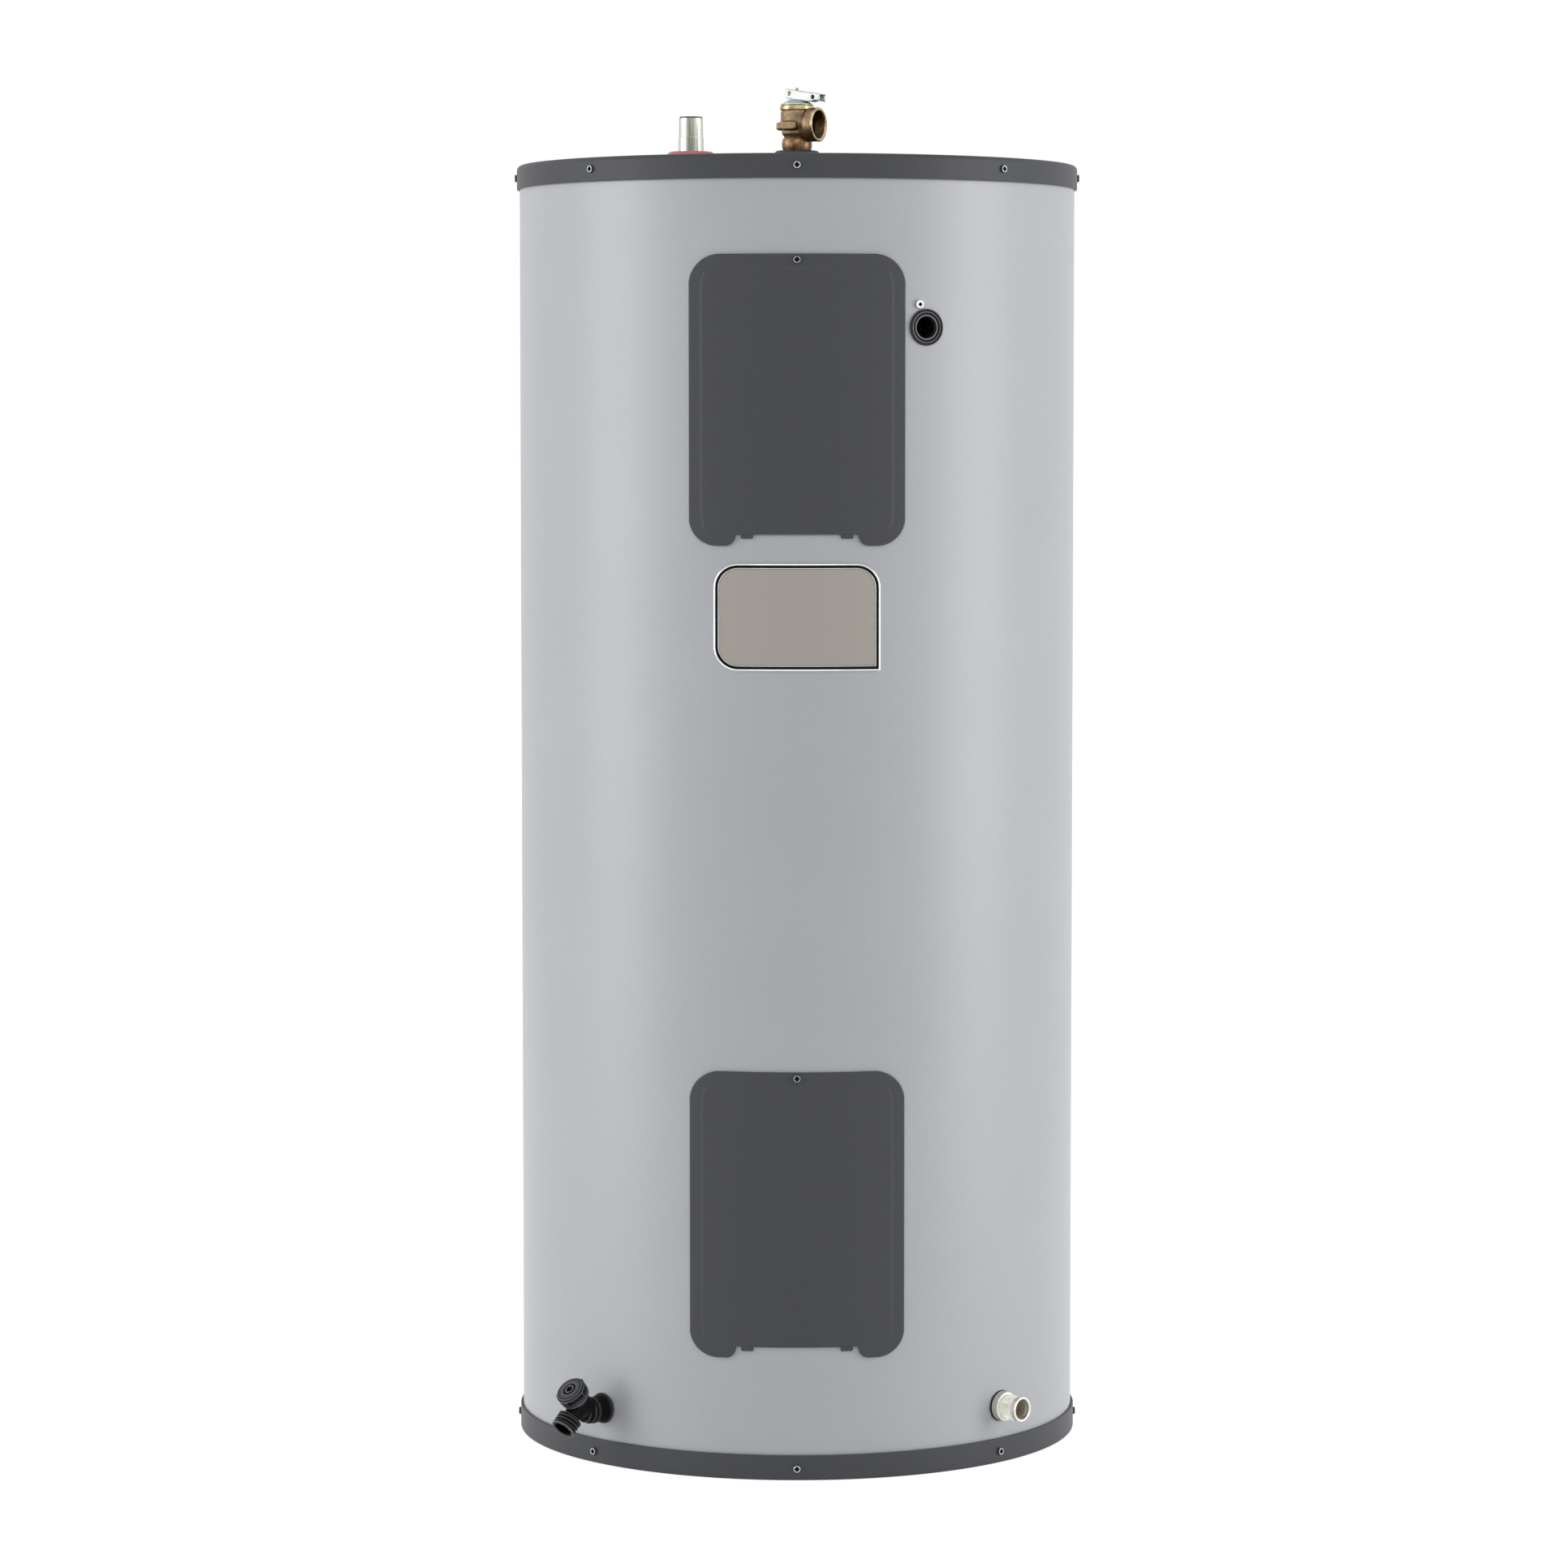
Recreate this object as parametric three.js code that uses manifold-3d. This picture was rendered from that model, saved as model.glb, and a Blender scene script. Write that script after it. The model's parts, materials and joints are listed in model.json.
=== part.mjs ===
// Tank water heater, electric, floor standing, with side cold inlet and top relief valve.
// Millimetres. +Z up, origin on the floor on the tank's axis, front towards -Y, +X to the right.
import * as THREE from 'three';
import { mergeVertices } from 'three/addons/utils/BufferGeometryUtils.js';
import Module from 'manifold-3d';

const wasm = await Module();
wasm.setup();

// ---------------------------------------------------------------- driving dimensions

// fits
const gap = 0.3;                    // between touching pieces
const boreGap = 0.4;                // round a shank in its hole
const slack = 0.7;                  // round a part that swings or slides out of its hole
const overrun = 1;                  // how far a cut passes the face it opens, or a join its seam

// drum
const heaterHeight = 1382.5;        // floor to deck
const coverSheet = 1;
const coverSkirt = 25.7;
const coverCorner = 5;
const baseSkirt = 26.4;
const baseCorner = 2;
const hemThickness = 2.6;
const hemHeight = 4.5;
const jacketRadius = 302;
const jacketSheet = 0.8;
const foamThickness = 48.5;         // between the tank and the jacket

// tank
const tankWall = 2.5;
const domeDrop = 97.5;              // from the deck down to where the top head's dome starts
const topDome = 55;
const bottomHeadRim = 34;
const bottomDome = 45;
const headSkirt = 24;
const portInset = 101;              // from the tank's wall in to the ring of its top ports
const spudWall = 7;
const spudHeight = 12;
const sideSpudHeight = 6;
const foamBottom = 36;
const deckHoleSlack = 1.4;          // round a pipe where it leaves the deck

// rim screws
const rimScrewCount = 8;
const visibleArc = 100;             // screws within this azimuth are separate pieces
const screwHeadRadius = 4;
const screwHeadHeight = 2.5;
const screwShankRadius = 1.8;
const screwRecess = 2.6;
const screwRecessDepth = 1.6;
const rimScrewDrop = 12.5;          // below the deck and above the floor
const screwHeadEdge = 1;            // height of the head's upright edge
const screwHeadTop = 3;             // radius of the head's flat top

// access panels
const panelWidth = 225;
const panelHeight = 301.5;
const panelSheet = 0.8;
const panelStand = 3.5;             // how far a panel stands off the jacket
const panelReturn = 1.2;
const panelTopRadius = 32;
const lobeOuterRadius = 36;
const lobeWidth = 46.5;
const lobeInnerRadius = 13;
const panelNotchTop = 12.2;         // the middle of the lower edge, above the lobes
const notchInset = 51;              // from the panel's side to the notch
const tabInset = 53;                // from the panel's side to the tab
const tabWidth = 14.5;
const tabDrop = 4.3;
const panelScrewDrop = 6.2;
const notchRadius = 1.5;            // where a lobe runs into the notch
const lowerPanelHeight = 128;       // floor to the lower panel
const upperPanelDrop = 103.5;       // deck to the top of the upper panel

// compartments behind the panels
const windowMargin = 17.5;          // panel past each side of the window
const windowRise = 26;              // window's lower edge above the panel's lobes
const windowDrop = 25.5;            // window's upper edge below the panel's top
const padInset = 4;
const padThickness = 15;
const wellSink = 20;                // how far the compartments' cuts pass the tank's wall

// heating elements
const elementRise = 44;             // element axis above the window's lower edge
const elementSink = 15;             // how far its plug reaches inside the tank's wall
const elementBend = 14;             // length of the loop's round end
const elementSteps = 16;
const elementShank = 16.2;
const elementReach = 290;
const elementRod = 4;
const elementLoop = 9;
const elementHexFlats = 38;
const elementHex = 8.5;
const gasketWidth = 5;
const gasketThickness = 2;
const terminalBlock = 14;
const terminalHeight = 8;
const terminalRadius = 3;
const terminalStud = 3.5;

// thermostats and high limit
const controlWidth = 60;
const controlDepth = 20;
const thermostatHeight = 70;
const thermostatRise = 32;          // thermostat's lower end above the element axis
const limitHeight = 52;
const limitGap = 3;
const dialDrop = 24;                // below the thermostat's upper end
const dialRadius = 9;
const dialHeight = 3.2;
const dialShaft = 2.5;
const dialShaftLength = 6;
const dialSlot = 1.6;
const dialSlotHalf = 6.3;
const dialSlotDepth = 1.2;
const buttonRadius = 4;
const buttonHeight = 4;
const buttonSink = 7;
const buttonTravel = 2;
const bracketSheet = 1.4;
const bracketDepth = 11;
const bracketMargin = 6;            // plate round the element's spud
const bracketCorner = 3;
const strapFoot = 4;                // how far a strap laps the plate

// wiring
const trunkRadius = 5;
const trunkX = -62;
const trunkDepth = 27;              // trunk axis, in from the jacket
const channelRadius = 8;
const channelLap = 5;               // how far the channel runs into each compartment
const trunkMargin = 10;             // trunk past its lowest branch
const wireTop = 2;                  // highest branch below the trunk's end
const controlWireX = -24;
const elementWireX = -10;
const controlWireRise = 12;         // above the thermostat's lower end
const wireRun = 12;                 // a branch's first bend, away from the trunk
const wireClimb = 4;
const wireBend = 6;
const wireApproach = 7;
const wireLead = 4;                 // its straight end
const wireRadius = 1.7;
const wireSides = 6;
const wireSteps = 6;

// badge
const badgeWidth = 173.5;
const badgeDrop = 18.2;             // below the upper panel
const badgeHeight = 111.4;
const badgeCorner = 25;
const badgeFrameWidth = 5.5;
const badgeFrameDepth = 3;
const badgePlateDepth = 1.4;

// cable grommet and ground screw
const grommetOffset = 21.3;         // to the right of the panel's edge
const grommetDrop = 178.8;          // below the deck
const grommetFlange = 19;
const grommetStep = 16.5;
const grommetBore = 11.25;
const grommetWall = 2.6;
const grommetFace = 4;
const grommetFlangeFace = 2;
const grommetTail = 3;
const grommetLip = 1;
const grommetLipGap = 1.2;
const cableWellWidth = 13;          // foam cleared to the right of the grommet
const cableWellDepth = 39;          // and behind it
const groundOffset = 14.2;          // to the right of the panel's edge
const groundRise = 23.7;            // above the grommet
const groundHeadRadius = 4.7;
const groundHeadHeight = 3;
const groundReach = 0.2;            // past the jacket's inner face

// water nipples, 3/4 inch pipe
const pipeRadius = 13.35;
const pipeBore = 10.7;
const pipeTaper = 0.5;
const pipeThread = 22;
const nippleReach = 8;              // past the tank wall, inside
const hotAzimuth = -48.7;
const hotReach = 48.5;              // above the deck
const hotRingRadius = 28.5;
const hotRingTopRadius = 21.7;
const hotRingHeight = 12.8;
const hotRingEdge = 8.6;
const hotRingDraft = 1;
const coldAzimuth = 45.8;
const coldHeight = 60.6;
const coldLength = 32;
const sideRingRadius = 16.2;
const sideRingThickness = 2;

// anode
const anodeAzimuth = 43;
const anodeRadius = 10;
const anodeLength = 1000;
const anodeHexFlats = 27;
const anodeHexHeight = 12;
const anodeShank = 13;
const anodeCapRadius = 19;
const anodeCapHeight = 9.7;
const anodeCapChamfer = 3;
const anodeNeck = 14;
const anodePlugRadius = 16;
const anodePlugDepth = 12;

// relief valve, on the port circle at the front
const reliefTurn = 61;              // azimuth of its outlet and lever
const escutcheonRadius = 24;
const escutcheonTopRadius = 21.5;
const escutcheonEdge = 7.5;
const escutcheonHeight = 9.7;
const collarLift = 10;              // above the deck
const collarRadius = 16;
const collarHeight = 15.3;
const barrelRadius = 17.5;
const barrelHeight = 28.6;
const barrelShoulder = 2;
const flangeRadius = 18;
const flangeHeight = 5.3;
const bossRadius = 10.5;
const bossReach = 21;
const bossRise = 11.8;              // above the barrel's lower end
const outletRise = 11.4;            // above the barrel's lower end
const outletFace = 27;
const outletRadius = 18.2;
const outletRim = 9;                // length of the outlet at its full radius
const outletFlare = 4;              // length over which the neck widens to it
const outletNeck = 15;
const outletBore = 14.2;
const outletDepth = 15;
const outletPassage = 9;
const reliefInletBore = 8;
const reliefChamber = 13;
const reliefSeatRise = 2.7;         // above the barrel's lower end
const reliefWater = 100;            // length of the probe below the tank's head
const probeRadius = 4;
const discRadius = 11.5;
const discThickness = 4;
const stemRadius = 2;
const stemReach = 18.8;             // above the flange
const springRadius = 8;
const springWire = 1.1;
const springCoils = 5;
const springSteps = 8;
const bonnetRadius = 16.5;
const bonnetDraft = 0.8;
const bonnetEdge = 1.9;
const bonnetCrown = 2.5;
const bonnetNeck = 7;
const bonnetNose = 4.8;
const bonnetNoseChamfer = 1;
const bonnetHeight = 6.7;
const bonnetPlug = 8;
const earHalf = 3.3;
const earInner = 3;
const earOuter = 5.1;
const leverPinAt = -5.7;            // along the lever from the stem
const leverPinRise = 10.6;          // above the flange
const leverSlope = 9;
const leverTail = 4.5;
const leverNose = 40;
const leverHalfHeight = 5;
const leverBelly = 24;              // where the lower edge starts to rise
const leverTip = 1.5;               // how far below its axis the rising edge ends
const leverBellyRadius = 3;
const leverFootRadius = 2;
const leverTopRadius = 1;
const leverOuter = 6.8;
const leverWall = 1.2;
const leverPinRadius = 1.5;
const leverPinHalf = 8;
const leverSlotStart = 2.2;
const leverSlotEnd = 14.5;
const leverSlotHalf = 2.8;
const leverHoleAt = 25;
const leverHoleRadius = 2.2;

// drain valve, in its own frame: outwards from the jacket, and up from its inlet axis
const drainAzimuth = -43;
const drainHeight = 60;
const drainCollarRadius = 16.2;
const drainInletEnd = 8;            // where the inlet runs into the body, before its centre
const drainInletLead = 2;
const drainInletRadius = 12.5;
const drainInletBore = 6.5;
const drainCentreOut = 34;
const drainCentreUp = 10;
const drainTilt = 47;               // handle axis above the horizontal
const drainBodyRadius = 12;
const drainBodyChamfer = 3;
const drainBonnetRadius = 9.5;
const drainBonnetTop = 12;
const drainBodyTop = 7;
const drainBodyBottom = -12.5;
const drainSeat = -6;
const drainPort = 5;
const drainPortDepth = 5;
const drainChamber = 8;
const drainChamberTop = 8;
const drainStem = 3;
const drainDisc = 7.2;
const drainDiscThickness = 3.6;
const drainOutletFace = 35.5;
const drainOutletRadius = 9;
const drainThreadRadius = 13.5;
const drainThreadLength = 14;
const drainThreadPitch = 4.2;
const drainThreadGroove = 1.4;
const drainThreadCrest = 0.45;      // shares of the pitch
const drainThreadRoot = 0.6;
const drainThreadRise = 0.9;
const drainThreadShoulder = 1;
const drainLip = 0.8;
const drainPassage = 6;
const drainOutletBore = 9.5;
const knobRadius = 16.5;
const knobBottom = 9.5;
const knobTop = 24.5;
const knobWall = 3;
const knobCap = 4;
const knobChamfer = 3;
const knobLugs = 8;
const knobLugRadius = 1.6;
const knobLugLength = 7;
const knobLugDrop = 1;
const knobLugSink = 0.3;
const knobRecess = 6.5;
const knobRecessWidth = 2.5;
const knobRecessDepth = 1.6;

// facets
const ringSegments = 48;
const headSegments = 24;
const domeSteps = 3;
const pipeSegments = 18;
const smallSegments = 8;
const screwSegments = 6;
const cornerSteps = 3;
const coverSteps = 2;
const lugSegments = 6;

// ---------------------------------------------------------------- finishes

const finish = (color, roughness, metalness) => ({ color, roughness, metalness });
const JACKET = finish(0xb4b7bb, 0.5, 0.3);
const TRIM = finish(0x4c4e52, 0.55, 0.1);
const ENAMEL_STEEL = finish(0x5a6e86, 0.5, 0.4);
const FOAM = finish(0xe3d9a8, 0.95, 0);
const FIBRE = finish(0xe9dfc2, 0.95, 0);
const ZINC = finish(0xc3c7c6, 0.35, 0.9);
const BRIGHT = finish(0xd7d9db, 0.18, 1);
const STEEL = finish(0x9a9da0, 0.4, 0.9);
const BLACK_RUBBER = finish(0x151515, 0.7, 0);
const BLACK_PLASTIC = finish(0x222223, 0.5, 0);
const PHENOLIC = finish(0x2b2622, 0.55, 0);
const RED_PLASTIC = finish(0xd9636b, 0.5, 0);
const RED_BUTTON = finish(0xc02020, 0.4, 0);
const WHITE_PLASTIC = finish(0xe4e2dc, 0.5, 0);
const BRONZE = finish(0x9a7a55, 0.42, 0.85);
const BRASS = finish(0xb8975a, 0.35, 0.9);
const TAUPE = finish(0x958f87, 0.4, 0.5);
const WIRE = finish(0x2f4f8f, 0.5, 0);
const MAGNESIUM = finish(0xb9bab5, 0.6, 0.7);
const GREEN_ZINC = finish(0xb9c7b4, 0.4, 0.8);

// ---------------------------------------------------------------- helpers

const rad = THREE.MathUtils.degToRad;

// a closed geometry as a manifold solid
function solid(geometry) {
  const bare = geometry.index ? geometry.toNonIndexed() : geometry.clone();
  bare.deleteAttribute('normal');
  bare.deleteAttribute('uv');
  const merged = mergeVertices(bare, 1e-4);
  const triVerts = dropSlivers(merged.index.array);
  const vertProperties = new Float32Array(merged.attributes.position.array);
  const made = new wasm.Manifold(new wasm.Mesh({ numProp: 3, vertProperties, triVerts }));
  if (made.volume() > 0) return made;
  triVerts.reverse();
  return new wasm.Manifold(new wasm.Mesh({ numProp: 3, vertProperties, triVerts }));
}

// triangles that merging has closed up to a line
function dropSlivers(index) {
  const kept = [];
  for (let i = 0; i < index.length; i += 3) {
    const [a, b, c] = [index[i], index[i + 1], index[i + 2]];
    if (a !== b && b !== c && c !== a) kept.push(a, b, c);
  }
  return new Uint32Array(kept);
}

// solid of revolution about Z from a closed profile of [radius, height] points
function turned(profile, segments = pipeSegments) {
  const points = profile.map(([r, z]) => new THREE.Vector2(r, z));
  points.push(points[0].clone());
  return solid(new THREE.LatheGeometry(points, segments)).rotate([90, 0, 0]);
}

// rod or washer about Z
function rod(radius, z0, z1, segments = pipeSegments, bore = 0) {
  return turned([[bore, z0], [radius, z0], [radius, z1], [bore, z1]], segments);
}

// closed outline extruded along Z
function prism(outline, z0, z1) {
  const shape = new THREE.Shape(outline.map(([x, y]) => new THREE.Vector2(x, y)));
  const geometry = new THREE.ExtrudeGeometry(shape, { depth: z1 - z0, bevelEnabled: false, steps: 1 });
  geometry.translate(0, 0, z0);
  return solid(geometry);
}

function block(x0, x1, y0, y1, z0, z1) {
  const geometry = new THREE.BoxGeometry(x1 - x0, y1 - y0, z1 - z0);
  geometry.translate((x0 + x1) / 2, (y0 + y1) / 2, (z0 + z1) / 2);
  return solid(geometry);
}

// polygon with n sides and the given distance across flats
function polygon(sides, flats) {
  const r = flats / 2 / Math.cos(Math.PI / sides);
  const at = (i) => 2 * Math.PI * (i + 0.5) / sides;
  return Array.from({ length: sides }, (_, i) => [r * Math.cos(at(i)), r * Math.sin(at(i))]);
}

// outline whose corners [x, y, radius] are rounded by arcs
function rounded(corners, steps = cornerSteps) {
  const out = [];
  corners.forEach(([x, y, r = 0], i) => {
    const [px, py] = corners[(i + corners.length - 1) % corners.length];
    const [nx, ny] = corners[(i + 1) % corners.length];
    if (!r) {
      out.push([x, y]);
      return;
    }
    const back = new THREE.Vector2(px - x, py - y).normalize();
    const ahead = new THREE.Vector2(nx - x, ny - y).normalize();
    const half = Math.acos(THREE.MathUtils.clamp(back.dot(ahead), -1, 1)) / 2;
    const centre = back.clone().add(ahead).normalize().multiplyScalar(r / Math.sin(half));
    const start = back.clone().multiplyScalar(r / Math.tan(half)).sub(centre);
    const end = ahead.clone().multiplyScalar(r / Math.tan(half)).sub(centre);
    const a0 = Math.atan2(start.y, start.x);
    const sweep = Math.atan2(start.x * end.y - start.y * end.x, start.dot(end));
    for (let k = 0; k <= steps; k += 1) {
      const a = a0 + sweep * k / steps;
      out.push([x + centre.x + r * Math.cos(a), y + centre.y + r * Math.sin(a)]);
    }
  });
  return out;
}

const rectangle = (x0, x1, y0, y1, r = 0) =>
  rounded([[x0, y0, r], [x1, y0, r], [x1, y1, r], [x0, y1, r]]);

// tube along a smooth curve
function tube(points, radius, steps) {
  const extrudePath = new THREE.CatmullRomCurve3(points.map((p) => new THREE.Vector3(...p)));
  const corners = polygon(wireSides, 2 * radius).map(([x, y]) => new THREE.Vector2(x, y));
  const section = new THREE.Shape(corners);
  return solid(new THREE.ExtrudeGeometry(section, { extrudePath, steps, bevelEnabled: false }));
}

// frame on the drum: x to the right, y up, z outwards from the axis at an azimuth
function radial(azimuth, height) {
  const turn = new THREE.Matrix4().makeRotationZ(rad(azimuth));
  const stand = new THREE.Matrix4().makeRotationX(Math.PI / 2);
  return new THREE.Matrix4().makeTranslation(0, 0, height).multiply(turn).multiply(stand);
}

// upright frame on the port circle, its x axis at a given azimuth
function upright(azimuth, turn) {
  const x = portCircle * Math.sin(rad(azimuth));
  const y = -portCircle * Math.cos(rad(azimuth));
  const spin = new THREE.Matrix4().makeRotationZ(rad(turn - 90));
  return new THREE.Matrix4().makeTranslation(x, y, 0).multiply(spin);
}

const moved = (body, frame) => body.transform(frame.elements);
const joined = (...bodies) => bodies.reduce((a, b) => a.add(b));
const cut = (body, ...tools) => tools.reduce((a, b) => a.subtract(b), body);

// outline in the drum's frame, bent round the axis between two radii
function bent(outline, r0, r1) {
  const ys = outline.map((p) => p[1]);
  const low = Math.min(...ys) - overrun;
  const high = Math.max(...ys) + overrun;
  const shell = rod(r1, low, high, ringSegments, r0).rotate([-90, 0, 0]);
  return prism(outline, r0 / 2, r1 + overrun).intersect(shell);
}

const group = new THREE.Group();
group.name = 'water_heater';

function add(name, body, look, frame = new THREE.Matrix4()) {
  const data = body.getMesh();
  const positions = Float32Array.from(data.vertProperties);
  const geometry = new THREE.BufferGeometry();
  geometry.setAttribute('position', new THREE.BufferAttribute(positions, 3));
  geometry.setIndex(Array.from(data.triVerts));
  const flat = geometry.toNonIndexed();
  flat.computeVertexNormals();
  const mesh = new THREE.Mesh(flat, new THREE.MeshStandardMaterial(look));
  mesh.name = name;
  mesh.applyMatrix4(frame);
  group.add(mesh);
}

// ---------------------------------------------------------------- derived places

const coverRadius = jacketRadius + boreGap + hemThickness;
const coverBore = coverRadius - coverSheet;
const deckUnderside = heaterHeight - coverSheet;
const jacketBore = jacketRadius - jacketSheet;
const jacketBottom = coverSheet + gap;
const jacketTop = heaterHeight - coverCorner;
const foamRadius = jacketBore - gap;
const foamBore = foamRadius - foamThickness;
const tankRadius = foamBore - boreGap;
const tankTop = heaterHeight - domeDrop;
const portCircle = tankRadius - portInset;
const windowWidth = panelWidth - 2 * windowMargin;
const windowHeight = panelHeight - windowRise - windowDrop;
const tankBore = tankRadius - tankWall;
const headRadius = tankBore - gap;
const spudRadius = pipeRadius + boreGap + spudWall;

const domeHeight = (edge, rise, r) => {
  const sphere = (edge * edge + rise * rise) / (2 * rise);
  return Math.sqrt(sphere * sphere - r * r) - (sphere - rise);
};
const domeArc = (edge, rise, base, r0, r1) => Array.from({ length: domeSteps + 1 }, (_, i) => {
  const r = r0 + (r1 - r0) * i / domeSteps;
  return [r, base + domeHeight(edge, rise, r)];
});

const portLevel = tankTop + domeHeight(headRadius, topDome, portCircle);
const spudTop = portLevel + spudHeight;
const portBottom = portLevel - tankWall - nippleReach;

const hotTop = heaterHeight + hotReach;
const grommetHeight = heaterHeight - grommetDrop;
const besidePanel = (offset) =>
  THREE.MathUtils.radToDeg(Math.asin((panelWidth / 2 + offset) / jacketRadius));

const hotFrame = upright(hotAzimuth, hotAzimuth);
const anodeFrame = upright(anodeAzimuth, anodeAzimuth);
const reliefFrame = upright(0, reliefTurn);
const coldFrame = radial(coldAzimuth, coldHeight);
const drainFrame = radial(drainAzimuth, drainHeight);
const grommetFrame = radial(besidePanel(grommetOffset), grommetHeight);
const groundFrame = radial(besidePanel(groundOffset), grommetHeight + groundRise);
const front = radial(0, 0);

const screwSeat = coverRadius + gap;
const screwTip = jacketBore - gap;
const rimAzimuths = Array.from({ length: rimScrewCount }, (_, i) => {
  const azimuth = 360 * i / rimScrewCount;
  return azimuth > 180 ? azimuth - 360 : azimuth;
});
const rimLevels = { top: heaterHeight - rimScrewDrop, base: rimScrewDrop };

const panelSkin = jacketRadius + panelStand;
const panelBottoms = {
  upper: heaterHeight - upperPanelDrop - panelHeight,
  lower: lowerPanelHeight,
};
const panelCentreline = (bottom) => bottom + panelHeight - panelScrewDrop;
const windowBottom = (bottom) => bottom + windowRise;
const elementLevel = (bottom) => windowBottom(bottom) + elementRise;

const screwHole = (length) => rod(screwShankRadius + slack, 0, length, screwSegments);
const bore = (radius, length, segments = pipeSegments) => rod(radius, 0, length, segments);
const through = coverRadius + panelStand;

// ---------------------------------------------------------------- screws

// a pan head screw along z, head resting at z = seat
function screw(seat, tip, headRadius = screwHeadRadius, headHeight = screwHeadHeight) {
  const top = seat + headHeight;
  const profile = [[0, tip], [screwShankRadius, tip], [screwShankRadius, seat], [headRadius, seat],
    [headRadius, seat + screwHeadEdge], [screwHeadTop, top], [0, top]];
  const recess = prism(polygon(4, screwRecess), top - screwRecessDepth, top + overrun);
  return cut(turned(profile, screwSegments), recess);
}

// ---------------------------------------------------------------- drum

// a shallow pan, closed side at z = 0, with its hemmed skirt rising to the given height
function pan(skirt, corner) {
  const outer = Array.from({ length: coverSteps + 1 }, (_, i) => {
    const a = Math.PI / 2 * i / coverSteps;
    return [coverRadius - corner + corner * Math.sin(a), corner - corner * Math.cos(a)];
  });
  const inner = outer.map(([r, z]) => {
    const k = (corner - coverSheet) / corner;
    return [coverRadius - corner + (r - coverRadius + corner) * k, corner + (z - corner) * k];
  }).reverse();
  const hemRadius = coverRadius - hemThickness;
  const hem = [[coverRadius, skirt], [hemRadius, skirt], [hemRadius, skirt - hemHeight],
    [coverBore, skirt - hemHeight - overrun]];
  return turned([[0, 0], ...outer, ...hem, ...inner, [0, coverSheet]], ringSegments);
}

const frontAzimuths = rimAzimuths.filter((azimuth) => Math.abs(azimuth) <= visibleArc)
  .sort((a, b) => a - b);
const backAzimuths = rimAzimuths.filter((azimuth) => Math.abs(azimuth) > visibleArc);
const backStud = screw(coverRadius - coverSheet / 2, coverBore + coverSheet / 4);
const rimHoles = (level) => frontAzimuths
  .map((azimuth) => moved(screwHole(through), radial(azimuth, level)));
const backStuds = (level) => backAzimuths.map((azimuth) => moved(backStud, radial(azimuth, level)));

const deckHole = (radius, frame) => moved(bore(radius, heaterHeight + overrun), frame);
const lid = pan(coverSkirt, coverCorner).rotate([180, 0, 0]).translate([0, 0, heaterHeight]);
const lidHoles = [
  deckHole(pipeRadius + deckHoleSlack, hotFrame),
  deckHole(pipeRadius + deckHoleSlack, reliefFrame),
  deckHole(anodePlugRadius + slack, anodeFrame),
  ...rimHoles(rimLevels.top),
];
add('top_cover', joined(cut(lid, ...lidHoles), ...backStuds(rimLevels.top)), TRIM);
const base = cut(pan(baseSkirt, baseCorner), ...rimHoles(rimLevels.base));
add('base_pan', joined(base, ...backStuds(rimLevels.base)), TRIM);

for (const [rim, level] of Object.entries(rimLevels)) {
  frontAzimuths.forEach((azimuth, i) => {
    add(`${rim}_screw_${i + 1}`, screw(screwSeat, screwTip), ZINC, radial(azimuth, level));
  });
}

const windowOutline = (bottom, inset = 0) => {
  const low = windowBottom(bottom) + inset;
  const high = windowBottom(bottom) + windowHeight - inset;
  return rectangle(inset - windowWidth / 2, windowWidth / 2 - inset, low, high);
};
const windowCuts = Object.values(panelBottoms)
  .map((bottom) => moved(prism(windowOutline(bottom), tankBore - wellSink, through), front));
const panelScrewHoles = Object.values(panelBottoms)
  .map((bottom) => moved(screwHole(through), radial(0, panelCentreline(bottom))));

add('jacket', cut(rod(jacketRadius, jacketBottom, jacketTop, ringSegments, jacketBore),
  ...windowCuts,
  ...panelScrewHoles,
  ...rimHoles(rimLevels.top),
  ...rimHoles(rimLevels.base),
  moved(bore(grommetBore + grommetWall + boreGap, through), grommetFrame),
  moved(bore(screwShankRadius + boreGap, through, screwSegments), groundFrame),
  moved(bore(pipeRadius + boreGap, through), coldFrame),
  moved(bore(drainInletRadius + boreGap, through), drainFrame)), JACKET);

// ---------------------------------------------------------------- tank

const spudFace = tankRadius + sideSpudHeight;
const sideSpud = (radius, frame) => moved(rod(radius, tankBore + gap, spudFace), frame);
const elementFrames = Object.entries(panelBottoms)
  .map(([level, bottom]) => [level, radial(0, elementLevel(bottom))]);
const elementBore = elementShank + boreGap;
const elementSpud = elementBore + spudWall;
add('tank_shell', cut(
  joined(rod(tankRadius, coverSheet + gap, tankTop, ringSegments, tankBore),
    sideSpud(spudRadius, coldFrame),
    sideSpud(spudRadius, drainFrame)),
  ...elementFrames.map(([, frame]) => moved(bore(elementBore, through), frame)),
  moved(bore(pipeRadius + boreGap, through), coldFrame),
  moved(bore(drainInletRadius + boreGap, through), drainFrame),
), ENAMEL_STEEL);

for (const [level, frame] of elementFrames) {
  const spud = rod(elementSpud, tankRadius + gap, spudFace, pipeSegments, elementBore);
  add(`${level}_element_spud`, spud, ENAMEL_STEEL, frame);
}

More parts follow.
